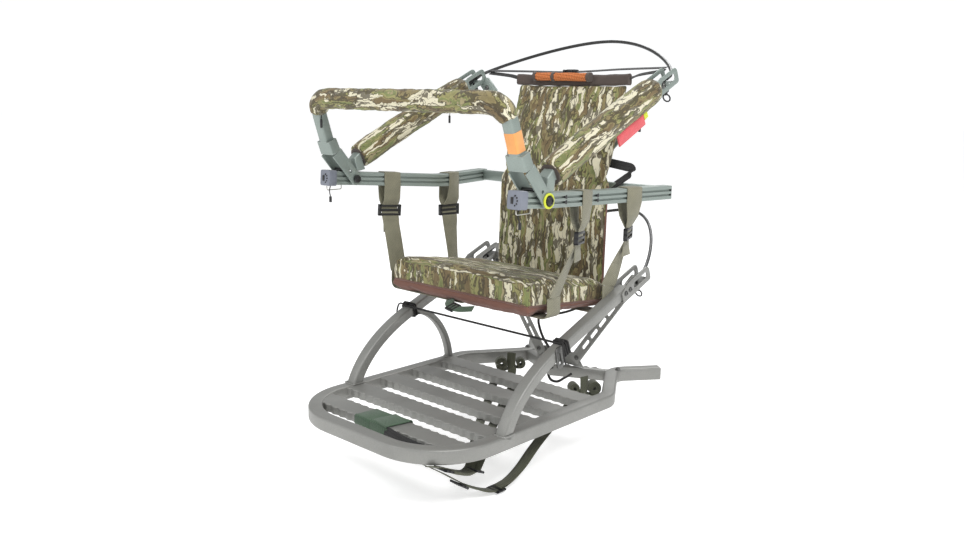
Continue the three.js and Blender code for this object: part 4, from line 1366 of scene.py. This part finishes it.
def accessory_roll():
    """A bundle of cords held in front of the hem by three bands."""
    start, end = mm(-108, 696, 763), mm(66, 696, 761)
    strands, stations = 7, 40
    for strand in range(strands):
        path = []
        for i in range(stations + 1):
            angle = 2 * math.pi * (strand / strands + i / stations * 0.4)
            aside = (Y * math.cos(angle) + Z * math.sin(angle)) * 6.6 * MM
            path.append(start.lerp(end, i / stations) + aside)
        tube(f"accessory_roll_{strand + 1}", path, circle(3.6 * MM, 12), ORANGE_CORD, "backrest", Z)
    for number, share in enumerate((0.02, 0.36, 0.98), 1):
        place = start.lerp(end, share)
        ring = [place - X * 4.5 * MM, place + X * 4.5 * MM]
        tube(f"roll_band_{number}", ring, circle(11.2 * MM, 24), DARK_CLOTH_AND_SHADE, "backrest", Z)


def tube_grain(path):
    """Grain for a pad round a curved tube: place across the nearest part of the path, and distance along."""
    centres, lengths = measured(path)

    def mapping(points, normals):
        nearest = np.zeros(len(points), int)
        best = np.full(len(points), np.inf)
        for i, centre in enumerate(centres):
            distance = np.linalg.norm(points - centre, axis=1)
            closer = distance < best
            nearest[closer] = i
            best[closer] = distance[closer]
        x, y, z = (points - centres[nearest]).T
        return np.stack([x + 0.5 * y, z - 0.5 * y, lengths[nearest]], 1)

    return mapping


def padded_tube(node, path, radius, up, seed, pinch=0.26):
    """A fabric sleeve over foam round a tube: gathered ends and shallow wrinkles. A small pinch leaves the
    first end wide open, and a dark disc in that end is painted shade."""
    total = measured(path)[1][-1]

    def taper(at, length):
        edge = min(at, length - at)
        depth = pinch if at < length / 2 else 0.26
        return 1 - depth + depth * math.sqrt(min(1.0, edge / (20 * MM)))

    dense = resample(path, int(total / (5 * MM)))
    obj = linked(f"{node}.look", tube_mesh(node, dense, circle(radius - 2 * MM, 28), up, taper))

    def held(points):
        first, last = (np.linalg.norm(points - np.array(end), axis=1) for end in (path[0], path[-1]))
        return np.minimum(first, last) < 26 * MM

    simulate(obj, 5 * MM, 5.0, 7 * MM, pinned=held)
    points = points_of(obj)
    mapping = tube_grain(resample(path, int(total / (2 * MM))))
    along = mapping(points, None)[:, 2]
    edge = np.minimum(along, total - along)
    waves = np.stack([along * 2.2, points[:, 0] * 0.4, points[:, 2] * 0.4], 1)
    wrinkle = 1.3 * MM * ripple(waves, 0.06, seed)
    gather = 1.6 * MM * bell(edge, 12 * MM) * ripple(points, 0.02, seed + 1)
    push_out(obj, wrinkle + gather)
    finish_pad(obj, CAMO, mapping, node)
    way = (path[1] - path[0]).normalized()
    # painted shade: a dark disc in the first end stands for the shade inside the open sleeve
    mouth_shade = [path[0] - way * 1 * MM, path[0] + way * 6 * MM]
    tube(f"{node}.look_mouth", mouth_shade, circle(radius * (1 - pinch) * 0.76, 28), DARK_CLOTH_AND_SHADE, BODY_OF[node], up)


def measured(path):
    """The path's points as an array, and the distance along it at each."""
    centres = np.array(path)
    return centres, np.concatenate([[0], np.cumsum(np.linalg.norm(np.diff(centres, axis=0), axis=1))])


def resample(path, count):
    """Evenly spaced points along a path."""
    centres, lengths = measured(path)
    even = np.linspace(0, lengths[-1], count + 1)
    return [Vector([np.interp(at, lengths, centres[:, axis]) for axis in range(3)]) for at in even]


def pads(armrest_path, bar_path):
    """The two armrest pads and the front bar's pad, with their zip pulls."""
    for hand, side in SIDES.items():
        padded_tube(f"armrest_pad_{hand}", flip_all(armrest_path[1:-1], side), 32 * MM, X, 20 + side, 0.08)
        zip_pull(f"armrest_zip_{hand}", flip(mm(292, 575, 677), side), "seat_section")
    covered = [p for p in bar_path if p.z > 668 * MM]
    padded_tube("front_bar_pad", covered, 25 * MM, BAR_LEAN, 31)
    zip_pull("bar_zip", mm(-272, 146, 672), "front_bar")


def blank_tag():
    """A plain red flap with a bright tip under the right armrest."""
    across = Vector((0, -0.42, 0.9))
    tag = places([(306, 474, 626), (306, 520, 648), (306, 566, 671)])
    strap("red_tag", tag, across, RED_CLOTH, "seat_section", 30 * MM, 4 * MM)
    tip = places([(306, 566, 674), (306, 578, 681)])
    strap("tag_tip", tip, across, SIGNAL, "seat_section", 16 * MM, 4 * MM)


# ---------- stage ----------
def stage():
    """A white floor that glows faintly into a white surround, so that only a soft shadow shows."""
    bpy.ops.mesh.primitive_plane_add(size=60, location=(0, 0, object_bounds()[0][2] - 2 * MM))
    floor = bpy.context.object
    floor.name = "floor"
    shader = Shader("floor", 0.9)
    shader.put((1, 1, 1, 1), shader.surface.inputs["Emission Color"])
    shader.put(0.55, shader.surface.inputs["Emission Strength"])
    floor.data.materials.append(shader.finish((0.80, 0.80, 0.80, 1)))
    floor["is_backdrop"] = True
    world = bpy.data.worlds.new("studio")
    bpy.context.scene.world = world
    world.use_nodes = True
    tree = world.node_tree
    seen = tree.nodes.new("ShaderNodeLightPath").outputs["Is Camera Ray"]
    level = tree.nodes.new("ShaderNodeMapRange")
    level.inputs["To Min"].default_value = 0.58    # as light
    level.inputs["To Max"].default_value = 1.05    # as seen by the camera
    tree.links.new(seen, level.inputs["Value"])
    tree.links.new(level.outputs[0], tree.nodes["Background"].inputs["Strength"])
    tree.nodes["Background"].inputs["Color"].default_value = (0.98, 0.99, 1.0, 1)
    bpy.context.scene.view_settings.view_transform = "Standard"


def lamp(name, offset, size, power):
    """A soft square lamp that looks at the stand's middle from an offset."""
    light = bpy.data.lights.new(name, "AREA")
    light.size = size
    light.energy = power
    obj = linked(name, light)
    obj.location = mm(0, 450, 420) + Vector(offset)
    obj.rotation_euler = (-Vector(offset)).to_track_quat("-Z", "Y").to_euler()


def camera():
    """The viewing angle: azimuth 42.7 degrees, 11.5 degrees above level, from near the front right."""
    azimuth, elevation, roll = math.radians(42.67), math.radians(11.45), math.radians(0.93)
    data = bpy.data.cameras.new("camera")
    data.sensor_width = 36
    data.lens = 33.797
    data.shift_y = 0.006
    obj = linked("camera", data)
    obj.location = mm(1397, -1123, 717)
    level = Vector((math.sin(azimuth), -math.cos(azimuth), 0)) * math.cos(elevation)
    back = level + Z * math.sin(elevation)
    turn = back.to_track_quat("Z", "Y").to_matrix() @ Matrix.Rotation(roll, 3, "Z")
    obj.rotation_euler = turn.to_euler()
    bpy.context.scene.camera = obj


# ---------- build ----------
platform_frame()
platform_arms()
slats()
carried_over_metal()
bracket_bolts()
brace_shoes("platform", "platform", DECK_PAINT, (204, 692, 257), (227, 692, 289), 9)
brace_shoes("seat", "seat_section", RAIL_PAINT, (247, 693, 717), (279, 693, 750), 14)
rails()
armrest_path = armrests()
bar_path = front_bar()
hub_details()
cap_details()
trunk_cable("platform_cable", on_arm, ARM_BRACKET_RUN + PLATFORM_BRACKET_LENGTH, mm(0, 990, 408), 108)
trunk_cable("seat_cable", on_armrest, SEAT_BRACKET_LENGTH, mm(0, 858, 854), 140)
level_cord()
toe_strap()
foot_straps()
rolled_bundle("left", -132, 618, -0.75, 1)
rolled_bundle("right", 160, 628, -0.6, -1)
hanging_strap("right", "front", 415, 372, 421, 12)
hanging_strap("right", "rear", 588, 573, 414, 34)
hanging_strap("left", "front", 348, 348, 434)
hanging_strap("left", "rear", 538, 540, 422, 20)
seat_cushion()
front_sling()
backrest()
back_hem()
accessory_roll()
hem_strap()
rear_web()
cords()
pads(armrest_path, bar_path)
blank_tag()
stage()
lamp("key", (2.6, -1.2, 2.9), 1.4, 105)
lamp("front", (-1.4, -3.2, 1.8), 2.2, 34)
lamp("rim", (-1.2, 2.8, 2.6), 1.6, 46)
camera()
